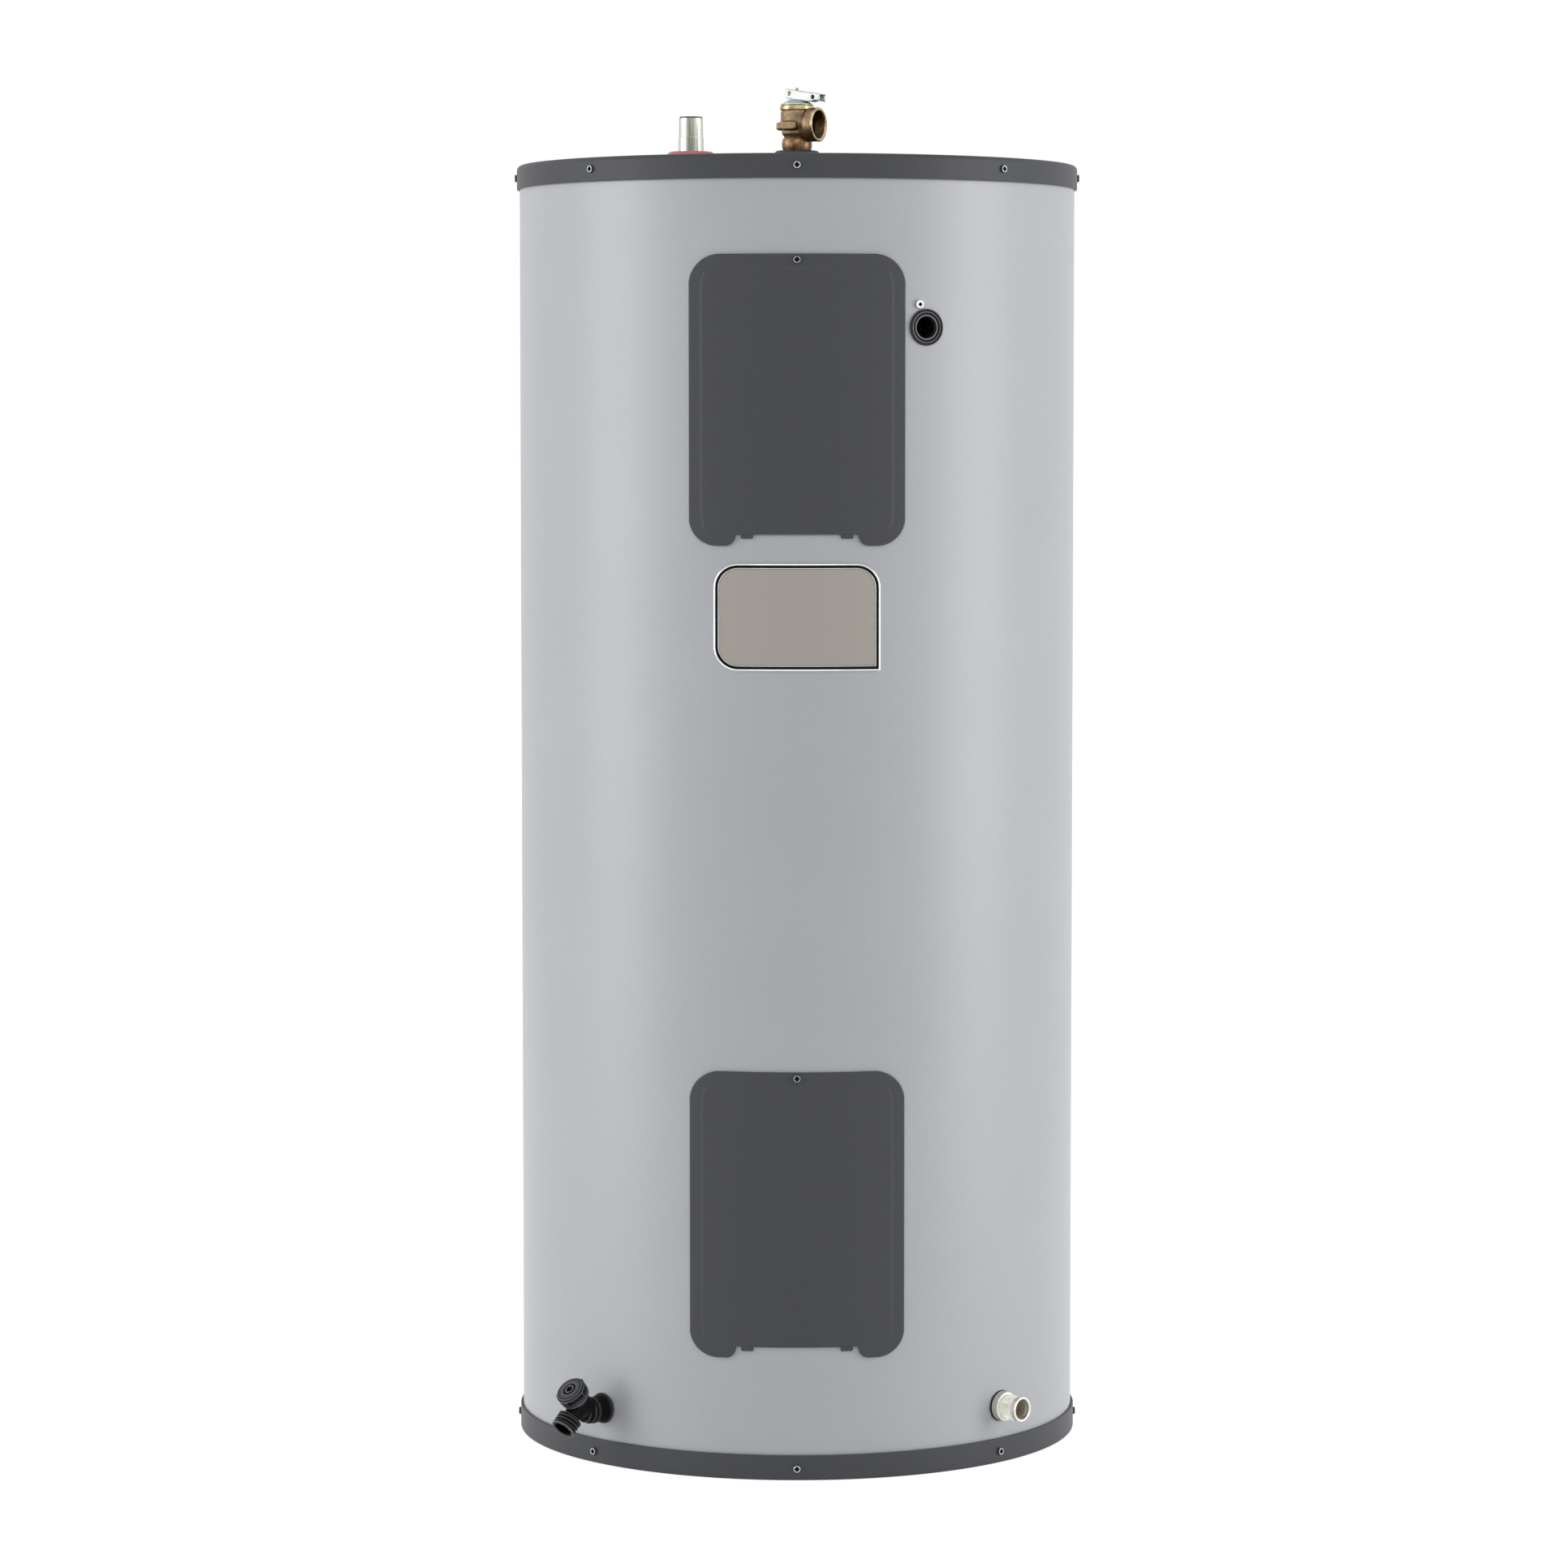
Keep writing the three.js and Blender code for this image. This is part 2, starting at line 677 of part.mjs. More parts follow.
function head(base, rise, skirtEnd) {
  const headBore = headRadius - tankWall;
  const outer = domeArc(headRadius, rise, base, 0, headRadius);
  const inner = domeArc(headBore, rise - tankWall, base, headBore, 0);
  return turned([...outer, [headRadius, skirtEnd], [headBore, skirtEnd], ...inner], headSegments);
}
const ports = [hotFrame, anodeFrame, reliefFrame];
add('tank_top_head', cut(
  joined(head(tankTop, topDome, tankTop - headSkirt),
    ...ports.map((frame) => moved(rod(spudRadius, portLevel - tankWall, spudTop), frame))),
  ...ports.map((frame) => moved(bore(pipeRadius + boreGap, spudTop + overrun), frame)),
), ENAMEL_STEEL);
add('tank_bottom_head', head(bottomHeadRim, bottomDome, bottomHeadRim - headSkirt), ENAMEL_STEEL);

const foamTop = deckUnderside - boreGap;
const trunkAt = Math.sqrt((jacketRadius - trunkDepth) ** 2 - trunkX ** 2);
const channelLow = windowBottom(panelBottoms.lower) + windowHeight - channelLap;
const channelHigh = windowBottom(panelBottoms.upper) + channelLap;
const channel = rod(channelRadius, channelLow, channelHigh, smallSegments)
  .translate([trunkX, -trunkAt, 0]);
const grommetX = panelWidth / 2 + grommetOffset;
const grommetY = -Math.sqrt(jacketRadius ** 2 - grommetX ** 2);
const wellHalf = grommetFlange - grommetWall;
const cableWell = block(windowWidth / 2 - channelLap, grommetX + cableWellWidth,
  -through, grommetY + cableWellDepth, grommetHeight - wellHalf, grommetHeight + wellHalf);
const foamDome = domeArc(headRadius, topDome, tankTop + boreGap, headRadius, 0);
add('foam_insulation', cut(
  turned([[foamBore, foamBottom], [foamRadius, foamBottom], [foamRadius, foamTop], [0, foamTop],
    ...foamDome.reverse(), [foamBore, tankTop + boreGap]], ringSegments),
  ...windowCuts,
  channel,
  cableWell,
  ...ports.map((frame) => moved(rod(spudRadius + boreGap, tankTop, heaterHeight), frame)),
  moved(bore(spudRadius + boreGap, through), coldFrame),
  moved(bore(spudRadius + boreGap, through), drainFrame),
), FOAM);

// ---------------------------------------------------------------- access panels

function panelOutline(inset = 0) {
  const edge = panelWidth / 2;
  const half = edge - inset;
  const top = panelHeight - inset;
  const notch = panelNotchTop + inset;
  const lobe = edge - lobeWidth + inset;
  const tabEdge = edge - tabInset;
  const right = [[half, top, panelTopRadius - inset], [half, inset, lobeOuterRadius - inset],
    [lobe, inset, lobeInnerRadius - inset], [edge - notchInset + inset, notch, notchRadius]];
  const tabs = inset ? [] : [[tabEdge, notch], [tabEdge, notch - tabDrop],
    [tabEdge - tabWidth, notch - tabDrop], [tabEdge - tabWidth, notch]];
  const side = [...right, ...tabs];
  const mirrored = side.map(([x, y, r]) => [-x, y, r]).reverse();
  return rounded([...side, ...mirrored]);
}

for (const [level, bottom] of Object.entries(panelBottoms)) {
  const frame = radial(0, bottom);
  const skin = bent(panelOutline(), jacketRadius + gap, panelSkin);
  const hollow = bent(panelOutline(panelReturn), jacketRadius - overrun, panelSkin - panelSheet);
  const screwAt = radial(0, panelHeight - panelScrewDrop).premultiply(front.clone().invert());
  const seat = moved(bore(panelScrewDrop, through, smallSegments), screwAt);
  const hole = moved(bore(screwShankRadius + boreGap, through, screwSegments), screwAt);
  add(`${level}_access_panel`, cut(skin, cut(hollow, seat), hole), TRIM, frame);
  add(`${level}_panel_screw`, screw(panelSkin + gap, screwTip), ZINC,
    radial(0, panelCentreline(bottom)));
  const padSkin = panelSkin - panelSheet - gap;
  const pad = bent(windowOutline(bottom, padInset), padSkin - padThickness, padSkin);
  add(`${level}_insulation_pad`, pad, FIBRE, front);
}

// ---------------------------------------------------------------- heating elements and controls

const gasketSeat = spudFace + gap;
const hexSeat = gasketSeat + gasketThickness + gap;
const blockSeat = hexSeat + elementHex;
const terminalTop = blockSeat + terminalHeight;
const controlBack = tankRadius + boreGap;
const controlFront = controlBack + controlDepth;

for (const [level, frame] of elementFrames) {
  const plugEnd = tankRadius - elementSink;
  const loopStart = plugEnd + overrun;
  const loopEnd = plugEnd - elementReach;
  const loop = tube([[-elementLoop, 0, loopStart], [-elementLoop, 0, loopEnd + elementBend],
    [0, 0, loopEnd], [elementLoop, 0, loopEnd + elementBend], [elementLoop, 0, loopStart]],
  elementRod, elementSteps);
  const terminal = rod(terminalRadius, blockSeat, terminalTop + terminalStud, screwSegments);
  add(`${level}_heating_element`, joined(
    rod(elementShank, plugEnd, hexSeat + overrun),
    prism(polygon(6, elementHexFlats), hexSeat, blockSeat),
    rod(terminalBlock, blockSeat - overrun, terminalTop),
    terminal.translate([0, -terminalBlock / 2, 0]),
    terminal.translate([0, terminalBlock / 2, 0]),
    loop,
  ), ZINC, frame);
  const gasket = rod(elementBore + gasketWidth, gasketSeat, gasketSeat + gasketThickness,
    pipeSegments, elementBore);
  add(`${level}_element_gasket`, gasket, BLACK_RUBBER, frame);

  const half = controlWidth / 2;
  const low = thermostatRise;
  const high = low + thermostatHeight;
  const dialAt = high - dialDrop;
  const shaftEnd = controlFront + gap - dialShaftLength;
  const shaftBore = rod(dialShaft + boreGap, shaftEnd - dialHeight, through, smallSegments)
    .translate([0, dialAt, 0]);
  add(`${level}_thermostat`, cut(block(-half, half, low, high, controlBack, controlFront), shaftBore),
    PHENOLIC, frame);
  const dialBase = controlFront + gap;
  const dialTop = dialBase + dialHeight;
  const dial = joined(rod(dialRadius, dialBase, dialTop),
    rod(dialShaft, shaftEnd, dialBase + overrun, smallSegments));
  const dialCut = block(-dialSlotHalf, dialSlotHalf, -dialSlot / 2, dialSlot / 2,
    dialTop - dialSlotDepth, dialTop + overrun);
  const dialFrame = frame.clone().multiply(new THREE.Matrix4().makeTranslation(0, dialAt, 0));
  add(`${level}_thermostat_dial`, cut(dial, dialCut), WHITE_PLASTIC, dialFrame);

  const strapInner = half + gap;
  const strapOuter = strapInner + bracketSheet;
  const plateOutline = rectangle(-strapOuter, strapOuter, -elementSpud - bracketMargin, low - gap,
    bracketCorner);
  const strap = block(strapInner, strapOuter, low - strapFoot, high, controlBack,
    controlBack + bracketDepth);
  add(`${level}_thermostat_bracket`, cut(
    joined(prism(plateOutline, controlBack, controlBack + bracketSheet), strap, strap.mirror([1, 0, 0])),
    bore(elementSpud + boreGap, through),
  ), STEEL, frame);
}

const limitLow = thermostatRise + thermostatHeight + limitGap;
const limitFrame = radial(0, elementLevel(panelBottoms.upper) + limitLow);
const buttonFrame = limitFrame.clone().multiply(new THREE.Matrix4().makeTranslation(0, limitHeight / 2, 0));
const buttonFoot = controlFront - buttonSink;
add('high_limit_control', cut(
  block(-controlWidth / 2, controlWidth / 2, 0, limitHeight, controlBack, controlFront),
  rod(buttonRadius + boreGap, buttonFoot - buttonTravel - gap, through, smallSegments)
    .translate([0, limitHeight / 2, 0]),
), PHENOLIC, limitFrame);
add('reset_button', rod(buttonRadius, buttonFoot, controlFront + buttonHeight, smallSegments),
  RED_BUTTON, buttonFrame);

// wires: a trunk between the compartments, with a branch to each control
const limitWire = elementLevel(panelBottoms.upper) + limitLow + limitHeight / 2 - wireTop;
const trunkLow = elementLevel(panelBottoms.lower) - trunkMargin;
const trunkHigh = limitWire + trunkMargin - wireTop;
const controlEnd = controlFront + gap;
const elementEnd = terminalTop + gap;
const branch = (level, x, end) => tube([
  [trunkX, -trunkAt, level - wireClimb], [trunkX + wireRun, -trunkAt - wireClimb, level],
  [x - wireBend, -end - wireApproach, level], [x, -end - wireLead, level], [x, -end, level],
], wireRadius, wireSteps);
const controlWire = (bottom) =>
  branch(elementLevel(bottom) + thermostatRise + controlWireRise, controlWireX, controlEnd);
const elementWire = (bottom) => branch(elementLevel(bottom), elementWireX, elementEnd);
add('wiring_harness', joined(
  rod(trunkRadius, trunkLow, trunkHigh, smallSegments).translate([trunkX, -trunkAt, 0]),
  branch(limitWire, controlWireX, controlEnd),
  ...Object.values(panelBottoms).map(controlWire),
  ...Object.values(panelBottoms).map(elementWire),
), WIRE);

// ---------------------------------------------------------------- badge

const badgeOutline = (inset) => {
  const half = badgeWidth / 2 - inset;
  const r = badgeCorner - inset;
  return rounded([[-half, inset, r], [half, inset, 0], [half, badgeHeight - inset, r],
    [-half, badgeHeight - inset, r]]);
};
const badgeBack = jacketRadius + gap;
const badgeFace = badgeBack + badgeFrameDepth;
const badgeFrame = radial(0, panelBottoms.upper - badgeDrop - badgeHeight);
add('badge_frame', cut(
  bent(badgeOutline(0), badgeBack, badgeFace),
  bent(badgeOutline(badgeFrameWidth), badgeBack - overrun, badgeFace + overrun),
), BRIGHT, badgeFrame);
add('badge_plate', bent(badgeOutline(badgeFrameWidth + gap), badgeBack, badgeBack + badgePlateDepth),
  TAUPE, badgeFrame);

// ---------------------------------------------------------------- grommet and ground screw

const grommetSeat = jacketRadius + gap;
const grommetEnd = jacketBore - grommetTail;
const grommetClip = jacketBore - grommetLipGap;
const grommetNeck = grommetBore + grommetWall;
add('cable_grommet', turned([
  [grommetBore, grommetEnd], [grommetNeck + grommetLip, grommetEnd],
  [grommetNeck + grommetLip, grommetClip], [grommetNeck, grommetClip], [grommetNeck, grommetSeat],
  [grommetFlange, grommetSeat], [grommetFlange, grommetSeat + grommetFlangeFace],
  [grommetStep, grommetSeat + grommetFlangeFace], [grommetStep, grommetSeat + grommetFace],
  [grommetBore, grommetSeat + grommetFace]]), BLACK_RUBBER, grommetFrame);
const groundScrew = screw(jacketRadius + gap, jacketBore - groundReach, groundHeadRadius, groundHeadHeight);
add('ground_screw', groundScrew, GREEN_ZINC, groundFrame);

// ---------------------------------------------------------------- water nipples

function nipple(start, end) {
  return turned([[pipeBore, start], [pipeRadius, start], [pipeRadius, end - pipeThread],
    [pipeRadius - pipeTaper, end], [pipeBore, end]]);
}
add('hot_outlet_nipple', nipple(portBottom, hotTop), ZINC, hotFrame);
const ringFoot = heaterHeight + gap;
add('hot_outlet_ring', turned([
  [pipeRadius + boreGap, ringFoot], [hotRingRadius, ringFoot],
  [hotRingRadius - hotRingDraft, heaterHeight + hotRingEdge],
  [hotRingTopRadius, heaterHeight + hotRingHeight],
  [pipeRadius + boreGap, heaterHeight + hotRingHeight]]), RED_PLASTIC, hotFrame);
add('cold_inlet_nipple', nipple(tankBore - nippleReach, jacketRadius + coldLength), ZINC, coldFrame);
const sideRing = (radius, hole) => rod(radius, jacketRadius + gap, jacketRadius + gap + sideRingThickness,
  pipeSegments, hole + boreGap);
add('cold_inlet_ring', sideRing(sideRingRadius, pipeRadius), BLACK_PLASTIC, coldFrame);

// ---------------------------------------------------------------- anode

const anodeSeat = spudTop + gap;
add('anode_rod', joined(
  rod(anodeRadius, anodeSeat - anodeLength, portLevel),
  rod(anodeShank, portLevel - anodeNeck, anodeSeat + overrun),
  prism(polygon(6, anodeHexFlats), anodeSeat, anodeSeat + anodeHexHeight),
), MAGNESIUM, anodeFrame);
const anodeCapTop = heaterHeight + anodeCapHeight;
add('anode_cap', turned([
  [0, heaterHeight - anodePlugDepth], [anodePlugRadius, heaterHeight - anodePlugDepth],
  [anodePlugRadius, ringFoot], [anodeCapRadius, ringFoot],
  [anodeCapRadius, anodeCapTop - anodeCapChamfer], [anodeCapRadius - anodeCapChamfer, anodeCapTop],
  [0, anodeCapTop]]), BLACK_PLASTIC, anodeFrame);

// ---------------------------------------------------------------- relief valve

add('relief_escutcheon', turned([
  [pipeRadius + boreGap, ringFoot], [escutcheonRadius, ringFoot],
  [escutcheonRadius, heaterHeight + escutcheonEdge], [escutcheonTopRadius, heaterHeight + escutcheonHeight],
  [pipeRadius + boreGap, heaterHeight + escutcheonHeight]]), TRIM, reliefFrame);

const collarBottom = heaterHeight + collarLift;
const barrelBottom = collarBottom + collarHeight;
const flangeBottom = barrelBottom + barrelHeight;
const flangeTop = flangeBottom + flangeHeight;
const reliefSeat = barrelBottom + reliefSeatRise;
const outletThroat = outletFace - outletRim - outletFlare;
const along = new THREE.Matrix4().makeTranslation(0, 0, barrelBottom + outletRise)
  .multiply(new THREE.Matrix4().makeRotationY(Math.PI / 2));
const outletBody = moved(turned([[0, 0], [outletNeck, 0], [outletNeck, outletThroat],
  [outletRadius, outletFace - outletRim], [outletRadius, outletFace], [0, outletFace]]), along);
const bosses = [90, 180, 270].map((turn) => rod(bossRadius, 0, bossReach, smallSegments)
  .rotate([0, 90, turn]).translate([0, 0, barrelBottom + bossRise]));
const barrel = turned([[0, portBottom], [pipeRadius, portBottom], [pipeRadius, collarBottom],
  [collarRadius, collarBottom], [collarRadius, barrelBottom],
  [barrelRadius, barrelBottom + barrelShoulder], [barrelRadius, flangeBottom],
  [flangeRadius, flangeBottom], [flangeRadius, flangeTop], [0, flangeTop]]);
add('relief_valve_body', cut(joined(barrel, outletBody, ...bosses),
  bore(reliefInletBore, reliefSeat + overrun),
  rod(reliefChamber, reliefSeat, flangeTop + overrun),
  moved(rod(outletPassage, 0, outletFace), along),
  moved(rod(outletBore, outletFace - outletDepth, outletFace + overrun), along),
), BRONZE, reliefFrame);

const bonnetFoot = flangeTop + gap;
const bonnetEnd = flangeTop - bonnetPlug;
const bonnetTop = flangeTop + bonnetHeight;
const bonnetBore = reliefChamber - boreGap;
const leverPinHeight = flangeTop + leverPinRise;
const ears = [[earInner, earOuter], [-earOuter, -earInner]].map(([v0, v1]) => {
  const plate = block(leverPinAt - earHalf, leverPinAt + earHalf, v0, v1,
    bonnetFoot + overrun, leverPinHeight);
  const crown = rod(earHalf, v0, v1, smallSegments).rotate([-90, 0, 0])
    .translate([leverPinAt, 0, leverPinHeight]);
  return joined(plate, crown);
});
const pinBore = rod(leverPinRadius + boreGap, -leverPinHalf, leverPinHalf, smallSegments)
  .rotate([-90, 0, 0]).translate([leverPinAt, 0, leverPinHeight]);
const bonnet = turned([[0, bonnetEnd], [bonnetBore, bonnetEnd], [bonnetBore, bonnetFoot],
  [bonnetRadius, bonnetFoot], [bonnetRadius - bonnetDraft, flangeTop + bonnetEdge],
  [bonnetNeck, flangeTop + bonnetCrown], [bonnetNose, bonnetTop - bonnetNoseChamfer],
  [bonnetNose - bonnetNoseChamfer, bonnetTop], [0, bonnetTop]]);
add('relief_valve_bonnet', cut(joined(bonnet, ...ears),
  pinBore,
  rod(stemRadius + boreGap, bonnetEnd - overrun, bonnetTop + overrun, smallSegments),
), ZINC, reliefFrame);

const discBottom = reliefSeat + gap;
const probeBottom = portLevel - reliefWater;
add('relief_stem', joined(
  rod(probeRadius, probeBottom, discBottom + overrun, smallSegments),
  rod(discRadius, discBottom, discBottom + discThickness),
  rod(stemRadius, discBottom, flangeTop + stemReach, smallSegments),
), BRASS, reliefFrame);

const springFoot = discBottom + discThickness + gap + springWire;
const springHead = bonnetEnd - gap - springWire;
const springTurns = springCoils * springSteps;
const helix = Array.from({ length: springTurns + 1 }, (_, i) => {
  const a = 2 * Math.PI * i / springSteps;
  const z = springFoot + (springHead - springFoot) * i / springTurns;
  return [springRadius * Math.cos(a), springRadius * Math.sin(a), z];
});
add('relief_spring', tube(helix, springWire, springTurns), STEEL, reliefFrame);

const leverFrame = reliefFrame.clone()
  .multiply(new THREE.Matrix4().makeTranslation(leverPinAt, 0, leverPinHeight))
  .multiply(new THREE.Matrix4().makeRotationY(rad(leverSlope)));
const leverSide = rounded([
  [-leverTail, -leverHalfHeight, leverFootRadius], [leverBelly, -leverHalfHeight, leverBellyRadius],
  [leverNose, -leverTip, leverFootRadius], [leverNose, leverHalfHeight, leverTopRadius],
  [-leverTail, leverHalfHeight, leverTopRadius]]);
const leverSolid = prism(leverSide, -leverOuter, leverOuter).rotate([90, 0, 0]);
const leverHollow = block(-leverTail - overrun, leverNose + overrun, leverWall - leverOuter,
  leverOuter - leverWall, -leverHalfHeight - overrun, leverHalfHeight - leverWall);
const leverSlot = block(leverSlotStart, leverSlotEnd, -leverSlotHalf, leverSlotHalf, 0,
  leverHalfHeight + overrun);
const crossRod = (at, radius) => rod(radius, -leverPinHalf, leverPinHalf, smallSegments)
  .rotate([-90, 0, 0]).translate([at, 0, 0]);
add('relief_lever', cut(leverSolid, leverHollow, leverSlot, crossRod(0, leverPinRadius + boreGap),
  crossRod(leverHoleAt, leverHoleRadius)), ZINC, leverFrame);
add('relief_lever_pin', crossRod(0, leverPinRadius), BRASS, leverFrame);

// ---------------------------------------------------------------- drain valve

const drainMouth = jacketRadius + drainCentreOut;
const bodyFrame = new THREE.Matrix4().makeTranslation(0, drainCentreUp, drainMouth);
const stemFrame = bodyFrame.clone().multiply(new THREE.Matrix4().makeRotationX(rad(-drainTilt)));
const spoutFrame = bodyFrame.clone().multiply(new THREE.Matrix4().makeRotationX(rad(90 - drainTilt)));
const threadStart = drainOutletFace - drainThreadLength;
const threadCount = Math.floor(drainThreadLength / drainThreadPitch);
const threadFloor = drainThreadRadius - drainThreadGroove;
const threads = Array.from({ length: threadCount }, (_, i) => threadStart + i * drainThreadPitch)
  .flatMap((z) => [[drainThreadRadius, z],
    [drainThreadRadius, z + drainThreadPitch * drainThreadCrest],
    [threadFloor, z + drainThreadPitch * drainThreadRoot],
    [threadFloor, z + drainThreadPitch * drainThreadRise]]);
const spout = turned([[0, 0], [drainOutletRadius, 0],
  [drainOutletRadius, threadStart - 2 * drainThreadShoulder],
  [drainThreadRadius, threadStart - drainThreadShoulder], ...threads,
  [drainThreadRadius, drainOutletFace - drainLip],
  [drainThreadRadius - drainLip, drainOutletFace], [0, drainOutletFace]]);
const inletReach = tankBore - nippleReach / 2;
const inletEnd = drainMouth - drainInletEnd;
const drainBowl = turned([[0, drainBodyBottom], [drainBodyRadius - drainBodyChamfer, drainBodyBottom],
  [drainBodyRadius, drainBodyBottom + drainBodyChamfer], [drainBodyRadius, drainBodyTop],
  [drainBonnetRadius, drainBodyTop], [drainBonnetRadius, drainBonnetTop], [0, drainBonnetTop]]);
const drainBody = joined(rod(drainInletRadius, inletReach, inletEnd), moved(drainBowl, stemFrame),
  moved(spout, spoutFrame));
const inStem = (radius, low, high) => moved(rod(radius, low, high, smallSegments), stemFrame);
add('drain_valve_body', cut(drainBody,
  rod(drainInletBore, inletReach - overrun, inletEnd + drainInletLead, smallSegments),
  inStem(drainPort, drainSeat - drainPortDepth, drainSeat + overrun),
  inStem(drainChamber, drainSeat, drainChamberTop),
  inStem(drainStem + boreGap, drainChamberTop - overrun, drainBonnetTop + overrun),
  moved(rod(drainOutletBore, threadStart, drainOutletFace + overrun), spoutFrame),
  moved(rod(drainPassage, 0, drainOutletFace, smallSegments), spoutFrame),
), BLACK_PLASTIC, drainFrame);
add('drain_valve_collar', sideRing(drainCollarRadius, drainInletRadius), BLACK_PLASTIC, drainFrame);

const discFoot = drainSeat + gap;
const discHead = discFoot + drainDiscThickness;
const drainStemFrame = drainFrame.clone().multiply(stemFrame);
add('drain_valve_disc', rod(drainDisc, discFoot, discHead, smallSegments), BLACK_RUBBER, drainStemFrame);
const lugTop = knobTop - knobLugDrop;
const lug = rod(knobLugRadius, lugTop - knobLugLength, lugTop, lugSegments)
  .translate([knobRadius - knobLugSink, 0, 0]);
const lugs = Array.from({ length: knobLugs }, (_, i) => lug.rotate([0, 0, 360 * i / knobLugs]));
const knobBore = knobRadius - knobWall;
const knobUnderside = knobTop - knobCap;
const knob = turned([[0, discHead + gap], [drainStem, discHead + gap], [drainStem, knobUnderside],
  [knobBore, knobUnderside], [knobBore, knobBottom], [knobRadius, knobBottom],
  [knobRadius, knobTop - knobChamfer], [knobRadius - knobChamfer, knobTop], [0, knobTop]]);
add('drain_valve_handle', cut(joined(knob, ...lugs),
  rod(knobRecess, knobTop - knobRecessDepth, knobTop + overrun, smallSegments, knobRecess - knobRecessWidth),
), BLACK_PLASTIC, drainStemFrame);

export default group;
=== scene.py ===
"""A floor-standing electric tank water heater: its visible pieces, finishes and studio.

Millimetres inside the functions, metres in the meshes. +Z up, front towards -Y, origin on the
floor on the tank's axis. Places and outer sizes are read from the frame's boxes."""

import json
import math

import bmesh
import bpy
import numpy as np
from mathutils import Matrix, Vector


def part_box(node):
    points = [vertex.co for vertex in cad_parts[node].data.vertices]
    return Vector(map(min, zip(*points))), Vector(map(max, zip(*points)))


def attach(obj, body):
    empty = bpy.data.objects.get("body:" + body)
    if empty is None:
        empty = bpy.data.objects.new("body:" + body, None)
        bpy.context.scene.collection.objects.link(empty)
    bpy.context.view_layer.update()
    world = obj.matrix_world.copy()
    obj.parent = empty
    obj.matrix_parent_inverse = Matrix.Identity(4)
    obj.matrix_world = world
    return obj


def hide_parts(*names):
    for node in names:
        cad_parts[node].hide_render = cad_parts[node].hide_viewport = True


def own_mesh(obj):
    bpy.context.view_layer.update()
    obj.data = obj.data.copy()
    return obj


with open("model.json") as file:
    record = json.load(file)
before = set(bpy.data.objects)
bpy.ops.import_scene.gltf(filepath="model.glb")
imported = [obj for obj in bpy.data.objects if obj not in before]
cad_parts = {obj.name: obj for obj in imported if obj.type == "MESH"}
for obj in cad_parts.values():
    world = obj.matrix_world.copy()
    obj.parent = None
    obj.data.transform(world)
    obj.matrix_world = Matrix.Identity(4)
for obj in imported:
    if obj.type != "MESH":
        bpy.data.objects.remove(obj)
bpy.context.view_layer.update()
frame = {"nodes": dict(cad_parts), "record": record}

bl_info = {
    "name": "Tank Water Heater",
    "version": (1, 0, 0),
    "blender": (4, 5, 0),
    "location": "View3D > Sidebar > Heater",
    "description": "Builds the pieces, finishes and studio of an electric tank water heater",
    "category": "Object",
}

MM = 0.001
UPPER, LOWER = "upper", "lower"
FIT = 0.3               # millimetres between pieces that rest on each other
PANEL_FIT = 0.35        # from the drum to a panel's edge
JACKET_SHEET = 0.8
WINDOW_HALF = 95.0      # half the width of the window behind a panel
WINDOW_MARGIN = 4.0     # from an insulation pad to the window's edge
WINDOW_CLEAR = 1.5      # grid lines nearer than this to a window's edge give way to it
GROMMET_HOLE = 14.2     # the radius of the cable's hole in the drum
SCREW_HEIGHT = 2.5      # how far the head of a rim or panel screw stands out
SCREW_RECESS = 1.9      # how deep its square recess goes
PIPE_RADIUS = 13.35     # a 3/4 inch pipe, 26.7 across
PIPE_BORE = 10.7        # inside its plastic liner
PIPE_HOLE = 13.75       # rings slip over the pipe with 0.4 to spare
FLOOR = -0.4            # the studio floor lies this little under the base
SHARP = 38              # degrees past which an edge is shaded as sharp

# A panel's foot, from its middle outwards: a notch, a flank, a small circle, then the lobe.
PANEL_FOOT = {
    "notch": 12.2,          # how high the notch stands over the lobes
    "notch_x": 63.6,        # where the notch ends and the flank begins
    "flank_end": 64.3,      # where the flank passes into the small circle
    "flank_foot": 66.1,     # where the flank would reach the lobes' level
    "lobe_start": 75.07,    # the small circle's lowest point
    "small_radius": 11,
}
# How a panel is pressed from its sheet.
PANEL_PRESSING = {
    "sheet": 0.8,
    "round": 1.1,           # the fold from its face to its rim
    "press_bottom": 1.5,    # from the notch up to the pressed line
    "press_radius": 20,     # the pressed line's corners
}


# ---------------------------------------------------------------- places read from the frame


def box(node):
    """A node's lowest and highest corners in millimetres."""
    low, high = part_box(node)
    return np.array(low) / MM, np.array(high) / MM


def middle_of(node):
    """The middle of a node's box."""
    low, high = box(node)
    return (low + high) / 2


def azimuth_of(node):
    """The angle of a node's middle round the tank, in radians from the front, right positive."""
    x, y, _ = middle_of(node)
    return math.atan2(x, -y)


def height_of(node):
    """The height of a node's middle above the floor."""
    return middle_of(node)[2]


def panel_window(level):
    """Lower and upper edge of the jacket's window behind a panel, a little wider than its pad."""
    low, high = box(f"{level}_insulation_pad")
    return low[2] - WINDOW_MARGIN, high[2] + WINDOW_MARGIN


def joint(name):
    """The frame's own record of a joint."""
    return next(j for j in frame["record"]["behaviour"]["joints"] if j["name"] == name)


JACKET_R = box("jacket")[1][0]
COVER_R = box("top_cover")[1][0]
DECK = box("top_cover")[1][2]
PANEL_SKIN = -box("upper_access_panel")[0][1]


# ---------------------------------------------------------------- frames, as 4 by 4 arrays


def axes(origin, x, y, z):
    """A frame whose columns are the given axes and origin."""
    made = np.eye(4)
    made[:3, 0], made[:3, 1], made[:3, 2], made[:3, 3] = x, y, z, origin
    return made


